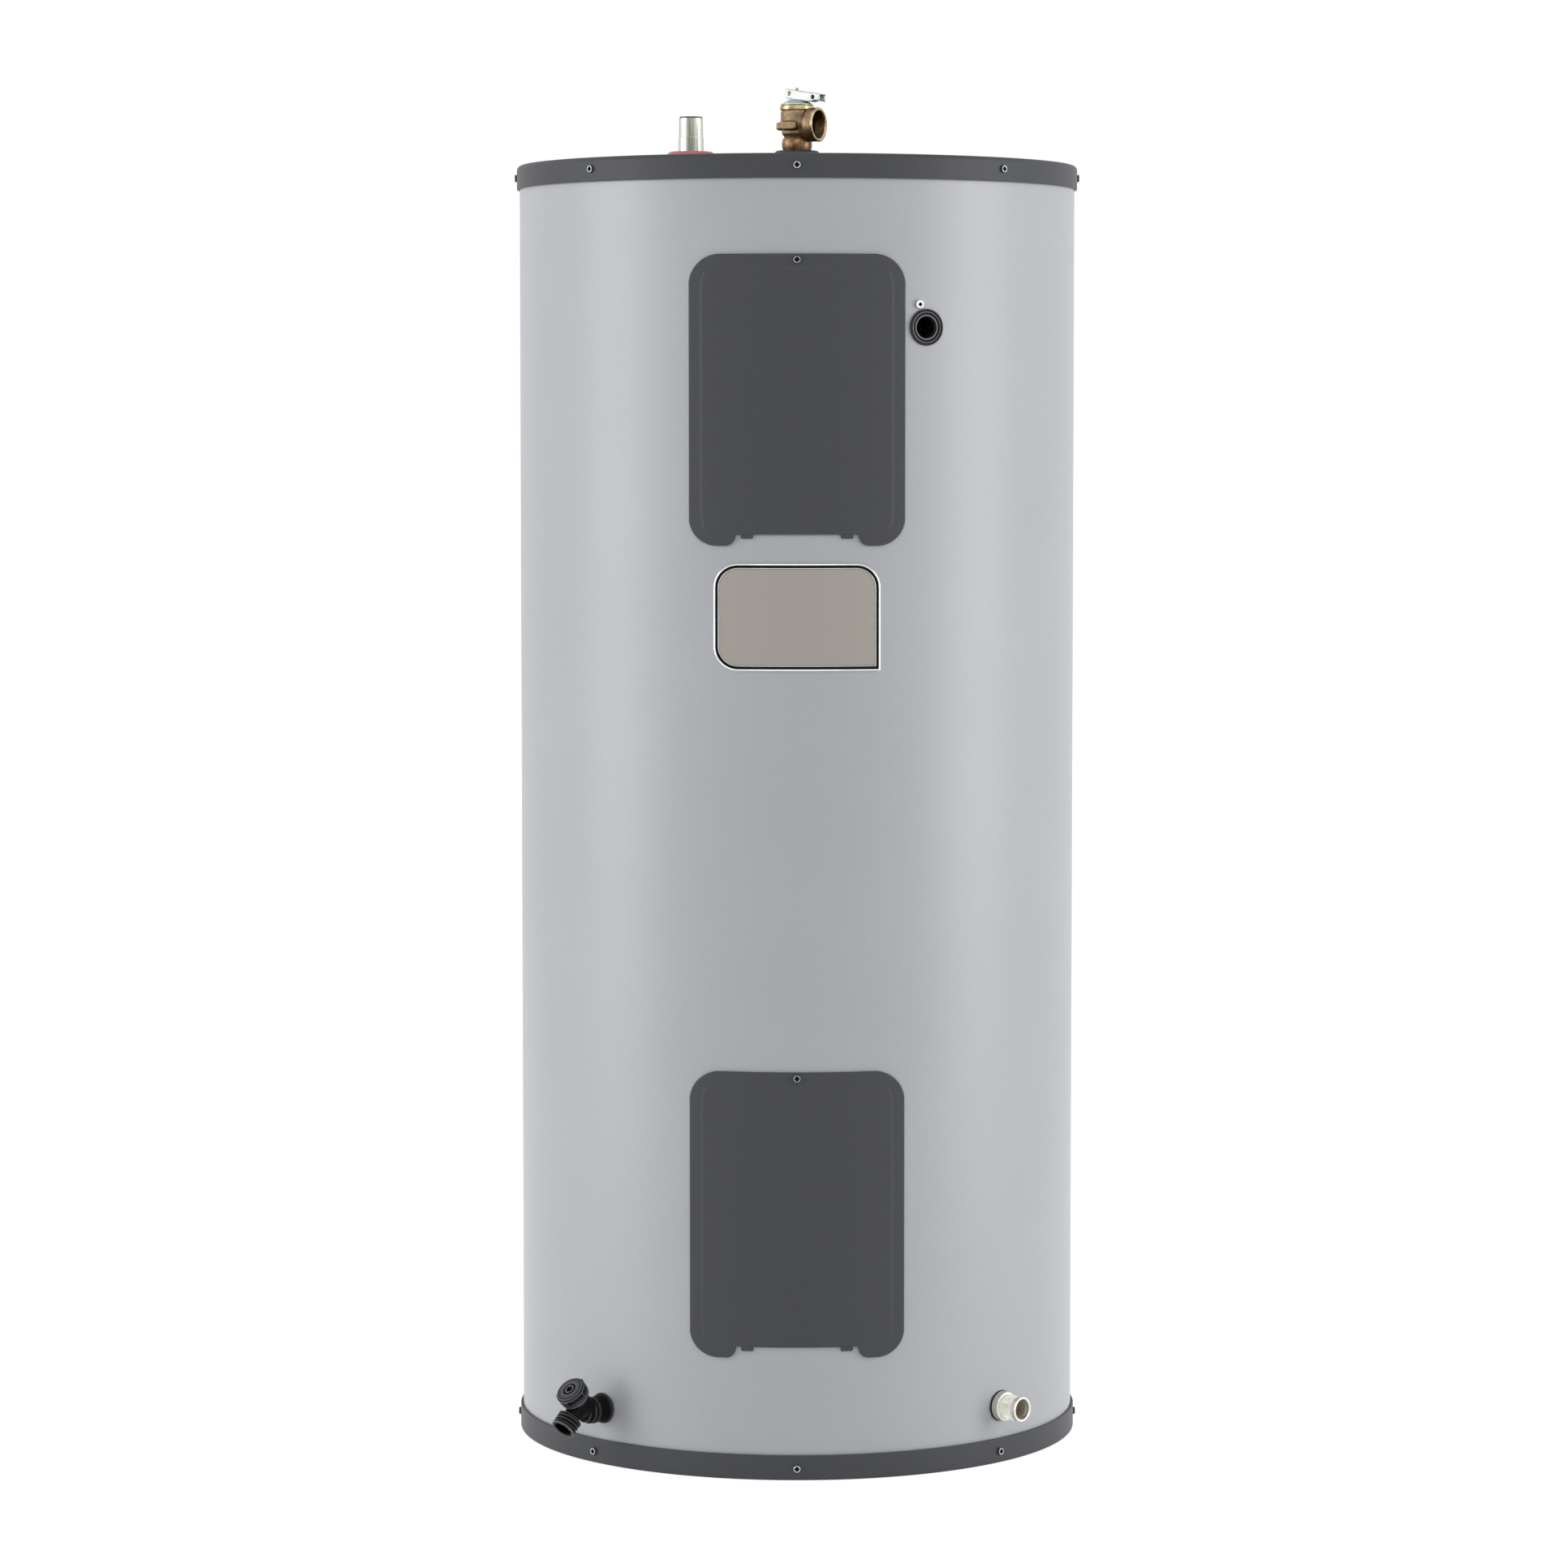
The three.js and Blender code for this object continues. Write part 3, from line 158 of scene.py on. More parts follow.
def radial(azimuth, height):
    """On the tank's axis at a height: local x along the drum, y up, z outwards."""
    s, c = math.sin(azimuth), math.cos(azimuth)
    return axes((0, 0, height), (c, s, 0), (0, 0, 1), (s, -c, 0))


def upright(x, y, z, turn=0.0):
    """Standing at a point, local x turned towards an azimuth, z up."""
    s, c = math.sin(turn), math.cos(turn)
    return axes((x, y, z), (s, -c, 0), (c, s, 0), (0, 0, 1))


def aimed(origin, axis, side=(0, 0, 1)):
    """At a point with local z along an axis, and local y as near the given side as it can be."""
    z = np.array(axis, float) / np.linalg.norm(axis)
    x = np.cross(side, z)
    x /= np.linalg.norm(x)
    return axes(origin, x, np.cross(z, x), z)


def placed(points, where):
    """Points of any array shape carried into a frame."""
    return points @ where[:3, :3].T + where[:3, 3]


def stood_at(where, point, axis, side=(0, 0, 1)):
    """At a point that is given in another frame, with local z along an axis."""
    return aimed(placed(np.array(point, float), where), axis, side)


def polar(turn, reach, height):
    """Points at a turn round local z, a reach out from it and a height along it."""
    turn, reach, height = np.broadcast_arrays(turn, reach, height)
    return np.stack([reach * np.cos(turn), reach * np.sin(turn), height], -1)


# ---------------------------------------------------------------- surfaces


class Shape:
    """Patches of surface gathered into one mesh, each a grid of points in millimetres."""

    def __init__(self):
        self.points = []
        self.faces = []
        self.looks = []
        self.count = 0

    def patch(self, grid, ring_u=False, look=0, keep=None):
        """Adds a grid[u, v] of points; a ring joins its last row to its first.

        The look is the finish's number, one for the patch or one for each step along v. Keep
        says which faces are kept, one truth for each."""
        rows, columns = grid.shape[:2]
        index = np.arange(rows * columns).reshape(rows, columns) + self.count
        if ring_u:
            index = np.vstack([index, index[:1]])
        quads = np.stack([index[:-1, :-1], index[1:, :-1], index[1:, 1:], index[:-1, 1:]], -1)
        looks = np.broadcast_to(np.asarray(look, np.int32), quads.shape[:2]).reshape(-1)
        quads = quads.reshape(-1, 4)
        if keep is not None:
            quads, looks = quads[keep], looks[keep]
        self.points.append(grid.reshape(-1, 3))
        self.faces.append(quads)
        self.looks.append(looks)
        self.count += rows * columns
        return self

    def turned(self, profile, where, steps, look=0):
        """A profile of (radius, height) rows swept once round local z, closed on itself."""
        profile = np.asarray(profile, float)
        turn = np.linspace(0, 2 * np.pi, steps, endpoint=False)[:, None]
        grid = polar(turn, profile[:, 0], profile[:, 1])
        return self.patch(placed(grid, where), ring_u=True, look=look)

    def lathed(self, profile, where, steps, radius, rounds=3, look=0):
        """A turned profile whose inner corners are softened by a radius."""
        return self.turned(softened(profile, radius, rounds), where, steps, look)

    def piece(self, name, finishes, body, weld=0.002):
        """The mesh as a named piece that rides on a body, welded, facing out and shaded smooth.

        Points nearer than the weld, in millimetres, become one."""
        points = np.concatenate(self.points) * MM
        faces = np.concatenate(self.faces)
        mesh = bpy.data.meshes.new(name)
        mesh.vertices.add(len(points))
        mesh.vertices.foreach_set("co", points.astype(np.float32).ravel())
        mesh.loops.add(faces.size)
        mesh.loops.foreach_set("vertex_index", faces.astype(np.int32).ravel())
        mesh.polygons.add(len(faces))
        mesh.polygons.foreach_set("loop_start", np.arange(0, faces.size, 4, dtype=np.int32))
        mesh.polygons.foreach_set("material_index", np.concatenate(self.looks))
        mesh.update(calc_edges=True)
        mesh.validate()
        work = bmesh.new()
        work.from_mesh(mesh)
        bmesh.ops.remove_doubles(work, verts=work.verts, dist=weld * MM)
        bmesh.ops.recalc_face_normals(work, faces=work.faces)
        work.to_mesh(mesh)
        work.free()
        mesh.polygons.foreach_set("use_smooth", np.ones(len(mesh.polygons), bool))
        mesh.set_sharp_from_angle(angle=math.radians(SHARP))
        for finish in finishes:
            mesh.materials.append(finish)
        made = bpy.data.objects.new(name, mesh)
        bpy.context.scene.collection.objects.link(made)
        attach(made, body)
        return made


def thicken(made, thickness):
    """Gives a piece's surface the thickness of its sheet, inwards."""
    wall = made.modifiers.new("sheet", "SOLIDIFY")
    wall.thickness = thickness * MM
    wall.offset = -1


def softened(profile, radius, steps):
    """A profile whose inner corners are each replaced by a small curve, with a point each side.

    At a corner the curve runs from one leg to the other, as (1-t)^2 A + 2t(1-t) P + t^2 B."""
    points = np.asarray(profile, float)
    before, at, after = points[:-2], points[1:-1], points[2:]
    legs = [before - at, after - at]
    lengths = [np.maximum(np.linalg.norm(leg, axis=1), 1e-9) for leg in legs]
    reach = np.minimum(radius, 0.4 * np.minimum(*lengths))[:, None]
    a, b = (at + leg / length[:, None] * reach for leg, length in zip(legs, lengths))
    outer_a, outer_b = (at + leg / length[:, None] * reach * 1.22
                        for leg, length in zip(legs, lengths))
    t = np.linspace(0, 1, steps + 1)[None, :, None]
    curve = (1 - t) ** 2 * a[:, None] + 2 * t * (1 - t) * at[:, None] + t ** 2 * b[:, None]
    inner = np.concatenate([outer_a[:, None], curve, outer_b[:, None]], 1).reshape(-1, 2)
    return np.concatenate([points[:1], inner, points[-1:]])


def rounded_rectangle(x0, x1, z0, z1, radii):
    """Anticlockwise outline from the lower right corner, with a quarter circle at each corner."""
    corners = [(x1, z0, -90), (x1, z1, 0), (x0, z1, 90), (x0, z0, 180)]
    runs = []
    for (x, z, start), r in zip(corners, radii):
        r = max(r, 0.05)
        a = np.radians(start + np.linspace(0, 90, 11))
        cx = x - r if x == x1 else x + r
        cz = z - r if z == z1 else z + r
        runs.append(np.stack([cx + r * np.cos(a), cz + r * np.sin(a)], -1))
    return np.concatenate(runs)


def resampled(outline, spacing):
    """A closed outline with points added so that no step is longer than the spacing."""
    nxt = np.roll(outline, -1, 0)
    count = np.maximum(np.ceil(np.linalg.norm(nxt - outline, axis=1) / spacing), 1).astype(int)
    which = np.repeat(np.arange(len(outline)), count)
    share = np.concatenate([np.arange(n) / n for n in count])[:, None]
    return outline[which] * (1 - share) + nxt[which] * share


def outward(outline):
    """Unit normals of an anticlockwise outline, from the chord between each point's neighbours."""
    chord = np.roll(outline, -1, 0) - np.roll(outline, 1, 0)
    chord /= np.maximum(np.linalg.norm(chord, axis=1), 1e-9)[:, None]
    return np.stack([chord[:, 1], -chord[:, 0]], -1)


def wrapped(flat, radius, bottom):
    """Flat (x, z) points laid on a drum of a radius, where y = -(r^2 - x^2)^(1/2)."""
    x, z = flat[..., 0], flat[..., 1]
    return np.stack([x, -np.sqrt(radius ** 2 - x ** 2), z + bottom], -1)


def powered(where, rows):
    """Rings round local z from (reach, power, height) rows: power 2 is round, 8 nearly square.

    A ring's points are where |x|^p + |y|^p = reach^p."""
    rows = np.asarray(rows, float)[None]
    t = np.linspace(0, 2 * np.pi, 48, endpoint=False)[:, None]
    c, s = np.abs(np.cos(t)) + 1e-9, np.abs(np.sin(t)) + 1e-9
    power = rows[..., 1]
    reach = rows[..., 0] / (c ** power + s ** power) ** (1 / power)
    return placed(polar(t, reach, rows[..., 2]), where)


def field(outline, radius, bottom):
    """A filled outline on the drum: rings that shrink towards its middle."""
    middle = (outline.max(0) + outline.min(0)) / 2
    share = np.linspace(1, 0, 14)[None, :, None]
    return wrapped(middle + (outline[:, None] - middle) * share, radius, bottom)


def swept(outline, section):
    """A section of (outwards, radius) rows carried round a closed outline on the drum."""
    normal = outward(outline)
    flat = outline[:, None] + normal[:, None] * section[None, :, :1]
    x = flat[..., 0]
    return np.stack([x, -np.sqrt(section[None, :, 1] ** 2 - x ** 2), flat[..., 1]], -1)


def smoothstep(low, high, value):
    """3t^2 - 2t^3 of how far the value is from low to high."""
    t = np.clip((value - low) / (high - low), 0, 1)
    return t * t * (3 - 2 * t)


def unique_lines(lines, least):
    """Sorted grid lines with any that lie closer than the least spacing dropped."""
    lines = np.unique(np.round(lines, 6))
    keep = np.concatenate([[True], np.diff(lines) > least])
    return lines[keep]


# ---------------------------------------------------------------- finishes


def shares(value):
    """A hex colour as three display shares."""
    return tuple(int(value[i:i + 2], 16) / 255 for i in (1, 3, 5))


def linear(colour):
    """A display colour, as sRGB hex or as three shares, turned to linear with a full alpha."""
    display = np.array(shares(colour) if isinstance(colour, str) else colour[:3], float)
    curve = ((display + 0.055) / 1.055) ** 2.4
    return (*np.where(display <= 0.04045, display / 12.92, curve).tolist(), 1.0)


def toned(colour, share):
    """A linear colour made lighter or darker by a share."""
    return (*(min(c * share, 1.0) for c in colour[:3]), 1.0)


def per_mm(size):
    """The texture scale at which one cell of a pattern is so many millimetres wide."""
    return 1 / (size * MM)


def add_node(tree, kind, options=None, sockets=None):
    """Adds a node, sets its options, and fills or links its sockets by name or number."""
    made = tree.nodes.new(kind)
    for key, value in (options or {}).items():
        setattr(made, key, value)
    for key, value in (sockets or {}).items():
        if isinstance(value, bpy.types.NodeSocket):
            tree.links.new(value, made.inputs[key])
        else:
            made.inputs[key].default_value = value
    return made


def new_finish(name, colour, roughness, metallic=0.0, **extra):
    """A material with its shader set: returns it with its tree, shader and object coordinates."""
    made = bpy.data.materials.new(name)
    made.use_nodes = True
    tree = made.node_tree
    shader = tree.nodes["Principled BSDF"]
    shader.inputs["Base Color"].default_value = linear(colour)
    shader.inputs["Roughness"].default_value = roughness
    shader.inputs["Metallic"].default_value = metallic
    for key, value in extra.items():
        shader.inputs[key.replace("_", " ")].default_value = value
    made.diffuse_color = linear(colour)
    place = add_node(tree, "ShaderNodeTexCoord").outputs["Object"]
    return made, tree, shader, place


def mottle(tree, place, size_mm, detail=2.0, rough=0.5, stretch=1.0):
    """Soft patches of a size in millimetres, 0 to 1; a stretch below 1 draws them out upwards.

    Noise keeps near its middle, so its range from 0.3 to 0.7 is spread over the whole."""
    drawn = add_node(tree, "ShaderNodeMapping", None,
                     {"Vector": place, "Scale": (1.0, 1.0, stretch)}).outputs[0]
    patches = add_node(tree, "ShaderNodeTexNoise", None,
                       {"Vector": drawn, "Scale": per_mm(size_mm), "Detail": detail,
                        "Roughness": rough}).outputs["Fac"]
    return add_node(tree, "ShaderNodeMapRange", None,
                    {"Value": patches, "From Min": 0.3, "From Max": 0.7}).outputs[0]


def edges_and_hollows(tree, low, high):
    """0 on flat or hollow places and 1 on outward edges, read from the surface's pointiness."""
    point = add_node(tree, "ShaderNodeNewGeometry").outputs["Pointiness"]
    return add_node(tree, "ShaderNodeMapRange", None,
                    {"Value": point, "From Min": low, "From Max": high}).outputs[0]


def dress(tree, shader, tone, dark, light, rough, height, depth_mm):
    """Joins patterns to the shader: its colour from dark to light along the tone, its roughness
    over the range (pattern, low, high), and a height that stands so many millimetres proud.

    A tone of two patterns and a share is the first with that share of the second mixed in."""
    if isinstance(tone, tuple):
        first, second, share = tone
        tone = add_node(tree, "ShaderNodeMix", {"data_type": "FLOAT"},
                        {0: share, 2: first, 3: second}).outputs[0]
    mix = add_node(tree, "ShaderNodeMix", {"data_type": "RGBA"}, {0: tone, 6: dark, 7: light})
    tree.links.new(mix.outputs[2], shader.inputs["Base Color"])
    if rough:
        level = add_node(tree, "ShaderNodeMapRange", None,
                         {"Value": rough[0], "To Min": rough[1], "To Max": rough[2]})
        tree.links.new(level.outputs[0], shader.inputs["Roughness"])
    bump = add_node(tree, "ShaderNodeBump", None, {"Height": height, "Distance": depth_mm * MM})
    tree.links.new(bump.outputs["Normal"], shader.inputs["Normal"])


def jacket_enamel(colour):
    """Baked enamel on steel sheet: a satin light grey with a fine mist of speckle.

    The mist is about 0.3 mm in the real coat and is drawn at 1.7 mm, so that it shows."""
    made, tree, shader, place = new_finish("jacket enamel on steel", colour, 0.42,
                                           Coat_Weight=0.1, Coat_Roughness=0.3)
    mist = mottle(tree, place, 1.7, 3.0, 0.7)
    cloud = mottle(tree, place, 140.0, 1.0)
    base = linear(colour)
    dress(tree, shader, (mist, cloud, 0.25), toned(base, 0.95), toned(base, 1.05), None,
          mottle(tree, place, 3.4), 0.012)
    return made


def powder_coat(colour):
    """Charcoal powder coat on pressed steel: matt and faintly grained, paler where it is rubbed.

    The grain is about 0.4 mm in the real coat and is drawn at 1.5 mm, so that it shows."""
    made, tree, shader, place = new_finish("charcoal powder coat", colour, 0.5,
                                           Specular_IOR_Level=0.25)
    grain = mottle(tree, place, 1.5, 3.0, 0.65)
    base = linear(colour)
    tone = (grain, edges_and_hollows(tree, 0.49, 0.56), 0.3)
    dress(tree, shader, tone, toned(base, 0.9), toned(base, 1.16), (grain, 0.44, 0.56),
          grain, 0.012)
    return made


def zinc_plate(name, colour, shade, roughness):
    """Zinc plating on turned or stamped steel: pale metal in soft clouds, with fine marks of the
    tool, brighter on its edges, and darker in its grooves with painted shade.

    The clouds are true to size at 6 mm. The marks are about 0.2 mm and are drawn at 0.9 mm."""
    made, tree, shader, place = new_finish(name, colour, roughness, 1.0)
    # the tone's dark end falls in grooves and hollows: painted shade
    tone = (mottle(tree, place, 6.0, 3.0, 0.6), edges_and_hollows(tree, 0.44, 0.53), 0.5)
    dress(tree, shader, tone, linear(shade), linear(colour),
          (mottle(tree, place, 2.5), roughness - 0.08, roughness + 0.12),
          mottle(tree, place, 0.9), 0.012)
    return made


def drawn_zinc(colour, shade, centre):
    """Chromated zinc on drawn pipe, with a painted reflection: four dark streaks down its length
    and bright bands between them, as the studio would be mirrored round the pipe.

    The streak follows cos 4a, with a the angle round the pipe's own centre. The draw lines are
    about 0.3 mm wide and are drawn at 1.6 mm, so that they show."""
    made, tree, shader, place = new_finish("clear chromate on drawn pipe", colour, 0.3, 1.0)
    local = add_node(tree, "ShaderNodeVectorMath", {"operation": "SUBTRACT"},
                     {0: place, 1: (centre[0] * MM, centre[1] * MM, 0)}).outputs[0]
    part = add_node(tree, "ShaderNodeSeparateXYZ", None, {0: local}).outputs
    angle = add_node(tree, "ShaderNodeMath", {"operation": "ARCTAN2"}, {0: part[1], 1: part[0]})
    turns = add_node(tree, "ShaderNodeMath", {"operation": "MULTIPLY"}, {0: angle.outputs[0], 1: 4})
    wave = add_node(tree, "ShaderNodeMath", {"operation": "COSINE"}, {0: turns.outputs[0]})
    # painted reflection: darkest where the pipe faces front, back or a side, brightest between
    bright = add_node(tree, "ShaderNodeMapRange", None,
                      {"Value": wave.outputs[0], "From Min": 0.95, "From Max": -0.3}).outputs[0]
    lines = mottle(tree, place, 1.6, 3.0, 0.6, stretch=0.06)
    dress(tree, shader, (bright, lines, 0.3), linear(shade), linear(colour), (lines, 0.24, 0.4),
          mottle(tree, place, 0.9), 0.01)
    return made


def chrome_plate(colour):
    """Bright chrome on a moulded trim: a mirror with the slightest waviness and a grey haze.

    Both are true to size, waves 9 mm and haze 11 mm across."""
    made, tree, shader, place = new_finish("chrome plated trim", colour, 0.09, 1.0)
    haze = mottle(tree, place, 11.0)
    dress(tree, shader, haze, toned(linear(colour), 0.9), linear(colour), (haze, 0.07, 0.14),
          mottle(tree, place, 9.0, 1.0), 0.02)
    return made


def cast_bronze(colour, shade):
    """Sand-cast bronze: brown gold with the grain of the mould, dark in its hollows.

    The sand is 0.3 mm in the real casting and is drawn at 1.1 mm, so that it shows."""
    made, tree, shader, place = new_finish("sand cast bronze", colour, 0.42, 1.0)
    sand = mottle(tree, place, 1.1, 4.0, 0.65)
    tone = (mottle(tree, place, 9.0, 3.0, 0.6), edges_and_hollows(tree, 0.46, 0.56), 0.55)
    dress(tree, shader, tone, linear(shade), linear(colour), (sand, 0.32, 0.58), sand, 0.1)
    return made


def turned_metal(name, colour, shade, roughness=0.26):
    """Bronze or brass turned on a lathe: bright, with the tool's fine marks.

    The marks are about 0.2 mm and are drawn at 1.3 mm, so that they show."""
    made, tree, shader, place = new_finish(name, colour, roughness, 1.0)
    marks = mottle(tree, place, 1.3)
    dress(tree, shader, mottle(tree, place, 7.0), linear(shade), linear(colour),
          (marks, roughness - 0.06, roughness + 0.14), marks, 0.015)
    return made


def moulded(name, colour, roughness, grain_mm, depth_mm=0.02, worn=None, gloss=0.35):
    """Moulded plastic or rubber: one colour through, a fine spark-eroded grain, and outward
    edges polished to the worn colour.

    The grain is about 0.1 mm and is drawn at 1.2 mm or more, so that it shows."""
    made, tree, shader, place = new_finish(name, colour, roughness, Specular_IOR_Level=gloss)
    grain = mottle(tree, place, grain_mm, 3.0, 0.6)
    base = linear(colour)
    body = add_node(tree, "ShaderNodeMix", {"data_type": "RGBA"},
                    {0: mottle(tree, place, 14.0), 6: toned(base, 0.92),
                     7: toned(base, 1.08)}).outputs[2]
    edge = edges_and_hollows(tree, 0.505, 0.56)
    dress(tree, shader, edge, body, linear(worn) if worn else toned(base, 1.1),
          (grain, roughness - 0.08, roughness + 0.1), grain, depth_mm)
    return made


def badge_paint(colour):
    """Taupe paint with a fine flake on the badge's aluminium plate.

    The flake is under 0.1 mm and is drawn at 0.9 mm, so that it shows."""
    made, tree, shader, place = new_finish("taupe flake paint", colour, 0.42)
    flake = mottle(tree, place, 0.9, 2.0, 0.7)
    base = linear(colour)
    dress(tree, shader, flake, toned(base, 0.95), toned(base, 1.05), (flake, 0.36, 0.48),
          flake, 0.006)
    return made


def blown_foam(colour):
    """Blown polyurethane foam: cream, full of small cells, with painted shade darkening its pits.

    The cells are about 0.5 mm and are drawn at 3 mm, so that they show."""
    made, tree, shader, place = new_finish("blown polyurethane foam", colour, 0.9)
    cells = add_node(tree, "ShaderNodeTexVoronoi", {"feature": "DISTANCE_TO_EDGE"},
                     {"Vector": place, "Scale": per_mm(3.0)}).outputs["Distance"]
    pits = add_node(tree, "ShaderNodeMapRange", None,
                    {"Value": cells, "From Max": 0.25}).outputs[0]
    base = linear(colour)
    # the pits' darker tone is painted shade
    tone = (pits, mottle(tree, place, 40.0, 3.0), 0.4)
    dress(tree, shader, tone, toned(base, 0.66), toned(base, 1.04), None, pits, 0.5)
    return made


def glass_fibre(colour):
    """A glass fibre pad: pale yellow wool with its strands drawn out one way.

    A strand is 0.01 mm; what is drawn, at 4 mm, is the tufts that they lie in."""
    made, tree, shader, place = new_finish("glass fibre wool", colour, 0.95, Sheen_Weight=0.3,
                                           Sheen_Roughness=0.5)
    strands = mottle(tree, place, 4.0, 5.0, 0.75, stretch=5.0)
    base = linear(colour)
    dress(tree, shader, strands, toned(base, 0.72), toned(base, 1.06), None, strands, 0.6)
    return made


def tank_enamel(colour):
    """Blue-grey primer on the welded tank: satin, a little uneven, with runs down its side.

    The runs are true to size, 12 mm wide. The coat's orange peel is 2.2 mm."""
    made, tree, shader, place = new_finish("blue primer on the tank", colour, 0.5)
    base = linear(colour)
    dress(tree, shader, mottle(tree, place, 12.0, 3.0, stretch=0.12), toned(base, 0.85),
          toned(base, 1.12), None, mottle(tree, place, 2.2), 0.05)
    return made


def magnesium(colour):
    """Extruded magnesium: a dull pale rod with drawn lines along it.

    The lines are about 0.3 mm wide and are drawn at 1.2 mm, so that they show."""
    made, tree, shader, place = new_finish("extruded magnesium", colour, 0.5, 1.0)
    lines = mottle(tree, place, 1.2, 3.0, stretch=0.05)
    base = linear(colour)
    dress(tree, shader, lines, toned(base, 0.8), base, None, lines, 0.03)
    return made


FINISHES = {}       # filled when a piece first asks for one


def make_finishes(hues):
    """Every finish of the heater, by the name of the record's material slot that it dresses."""
    FINISHES.update(
        jacket_paint=jacket_enamel(hues.jacket),
        dark_trim=powder_coat(hues.trim),
        zinc=zinc_plate("bright zinc plate", "#CBD1CF", "#9FA7A5", 0.36),
        screw_zinc=zinc_plate("dull zinc plate", "#B4B7B8", "#85888A", 0.45),
        # darker than the rim screws' zinc: a painted dark reflection, as the panel screws face the
        # front
        panel_zinc=zinc_plate("dull zinc plate, dark", "#929496", "#66686B", 0.5),
        cream_zinc=zinc_plate("dull zinc, warm", "#E6E5DD", "#B3B1A6", 0.42),
        green_zinc=zinc_plate("clear chromate on zinc", "#E2E5E0", "#A9AEA2", 0.36),
        # the hot pipe's finish, with its painted reflection
        drawn_zinc=drawn_zinc("#E9EAE0", "#5D6150", middle_of("hot_outlet_nipple")),
        cut_steel=zinc_plate("cut steel, dark", "#4B4E55", "#2E3138", 0.4),
        # black for the screws' recesses: painted shade
        black_steel=moulded("shade_painted steel, black", "#121213", 0.6, 2.0, 0.01, gloss=0.1),
        bright_frame=chrome_plate("#DDDEDF"),
        pale_liner=moulded("polypropylene liner, cream", "#A79F90", 0.45, 3.0, 0.01),
        spring_steel=zinc_plate("drawn spring steel", "#A4A7AA", "#85888B", 0.34),
        bronze=cast_bronze(hues.bronze, "#4E3C2B"),
        bright_bronze=turned_metal("turned bronze", "#D2BD94", "#93794F"),
        copper=turned_metal("copper flashed bronze", "#B28C6C", "#62452F", 0.42),
        # a darker copy of the bronze: painted shade inside the relief valve's bore
        dull_bore=cast_bronze("#7A6547", "#1E1812"),
        brass=turned_metal("free-cutting brass", "#C9A45F", "#A98447"),
        black_plastic=moulded("glass filled nylon, black", hues.plastic, 0.42, 1.2, 0.03,
                              "#6E6F73", 0.06),
        # lighter grey on chosen edges of the black nylon: painted highlights
        worn_plastic=moulded("glass filled nylon, rubbed", "#5B5C60", 0.35, 1.2, 0.02),
        black_rubber=moulded("EPDM rubber, black", "#121214", 0.6, 2.0, 0.02, "#3A3B3E", 0.12),
        # pale grey on chosen edges of the black rubber: painted highlights
        worn_rubber=moulded("EPDM rubber, rubbed", "#76777A", 0.5, 2.0, 0.02),
        phenolic=moulded("phenolic moulding, brown black", "#2B2622", 0.42, 1.5),
        red_ring=moulded("polyethylene, red", hues.hot_ring, 0.5, 3.0, 0.01),
        red_button=moulded("nylon, red", "#C02020", 0.3, 3.0, 0.01),
        white_plastic=moulded("nylon, white", "#D9D7D1", 0.38, 3.0, 0.01),
        badge_taupe=badge_paint(hues.badge),
        badge_black=moulded("gloss black enamel", "#101011", 0.25, 6.0, 0.005, gloss=0.1),
        foam=blown_foam("#E3D9A8"),
        fibre_pad=glass_fibre("#E9DFC2"),
        tank_steel=tank_enamel("#5A6E86"),
        wire_cover=moulded("PVC wire covering, blue", "#2F4F8F", 0.4, 3.0, 0.01),
        magnesium=magnesium("#B9BAB5"),
    )


# ---------------------------------------------------------------- round holes in a grid


# where a hole's own grid lines lie, in radii from its centre, and how far out others give way
BLOCK = np.array([-2.4, -1.8, -1.35, -1, -0.6, -0.2, 0.2, 0.6, 1, 1.35, 1.8, 2.4])
BLOCK_CLEAR = 2.9


def hole_lines(lines, spots):
    """Grid lines cleared near each (centre, radius) and given the lines that its hole needs."""
    for centre, radius in spots:
        lines = lines[np.abs(lines - centre) > BLOCK_CLEAR * radius]
    return unique_lines(np.concatenate([lines] + [c + BLOCK * r for c, r in spots]), 0.02)


def with_lines(lines, added, clear):
    """Grid lines with some added, and any that lie within the clearance of those dropped."""
    far = np.abs(lines[:, None] - np.array(added)).min(1) > clear
    return np.sort(np.append(lines[far], added))


def round_holes(p, q, holes):
    """Turns the square rings of a grid round each (p, q, radius) to circles.

    A point's offset is scaled by the ratio of its square to its round distance, which fades
    back to 1 at the outermost of the hole's lines."""
    reach = BLOCK[-1]
    for centre_p, centre_q, radius in holes:
        dp, dq = p - centre_p, q - centre_q
        square = np.maximum(np.abs(dp), np.abs(dq)) / radius
        round_ = np.maximum(np.hypot(dp, dq) / radius, 1e-6)
        fade = np.clip((reach - square) / (reach - 1), 0, 1)
        scale = np.where(square < reach, 1 + fade * (square / round_ - 1), 1)
        p, q = centre_p + dp * scale, centre_q + dq * scale
    return p, q


# ---------------------------------------------------------------- drum


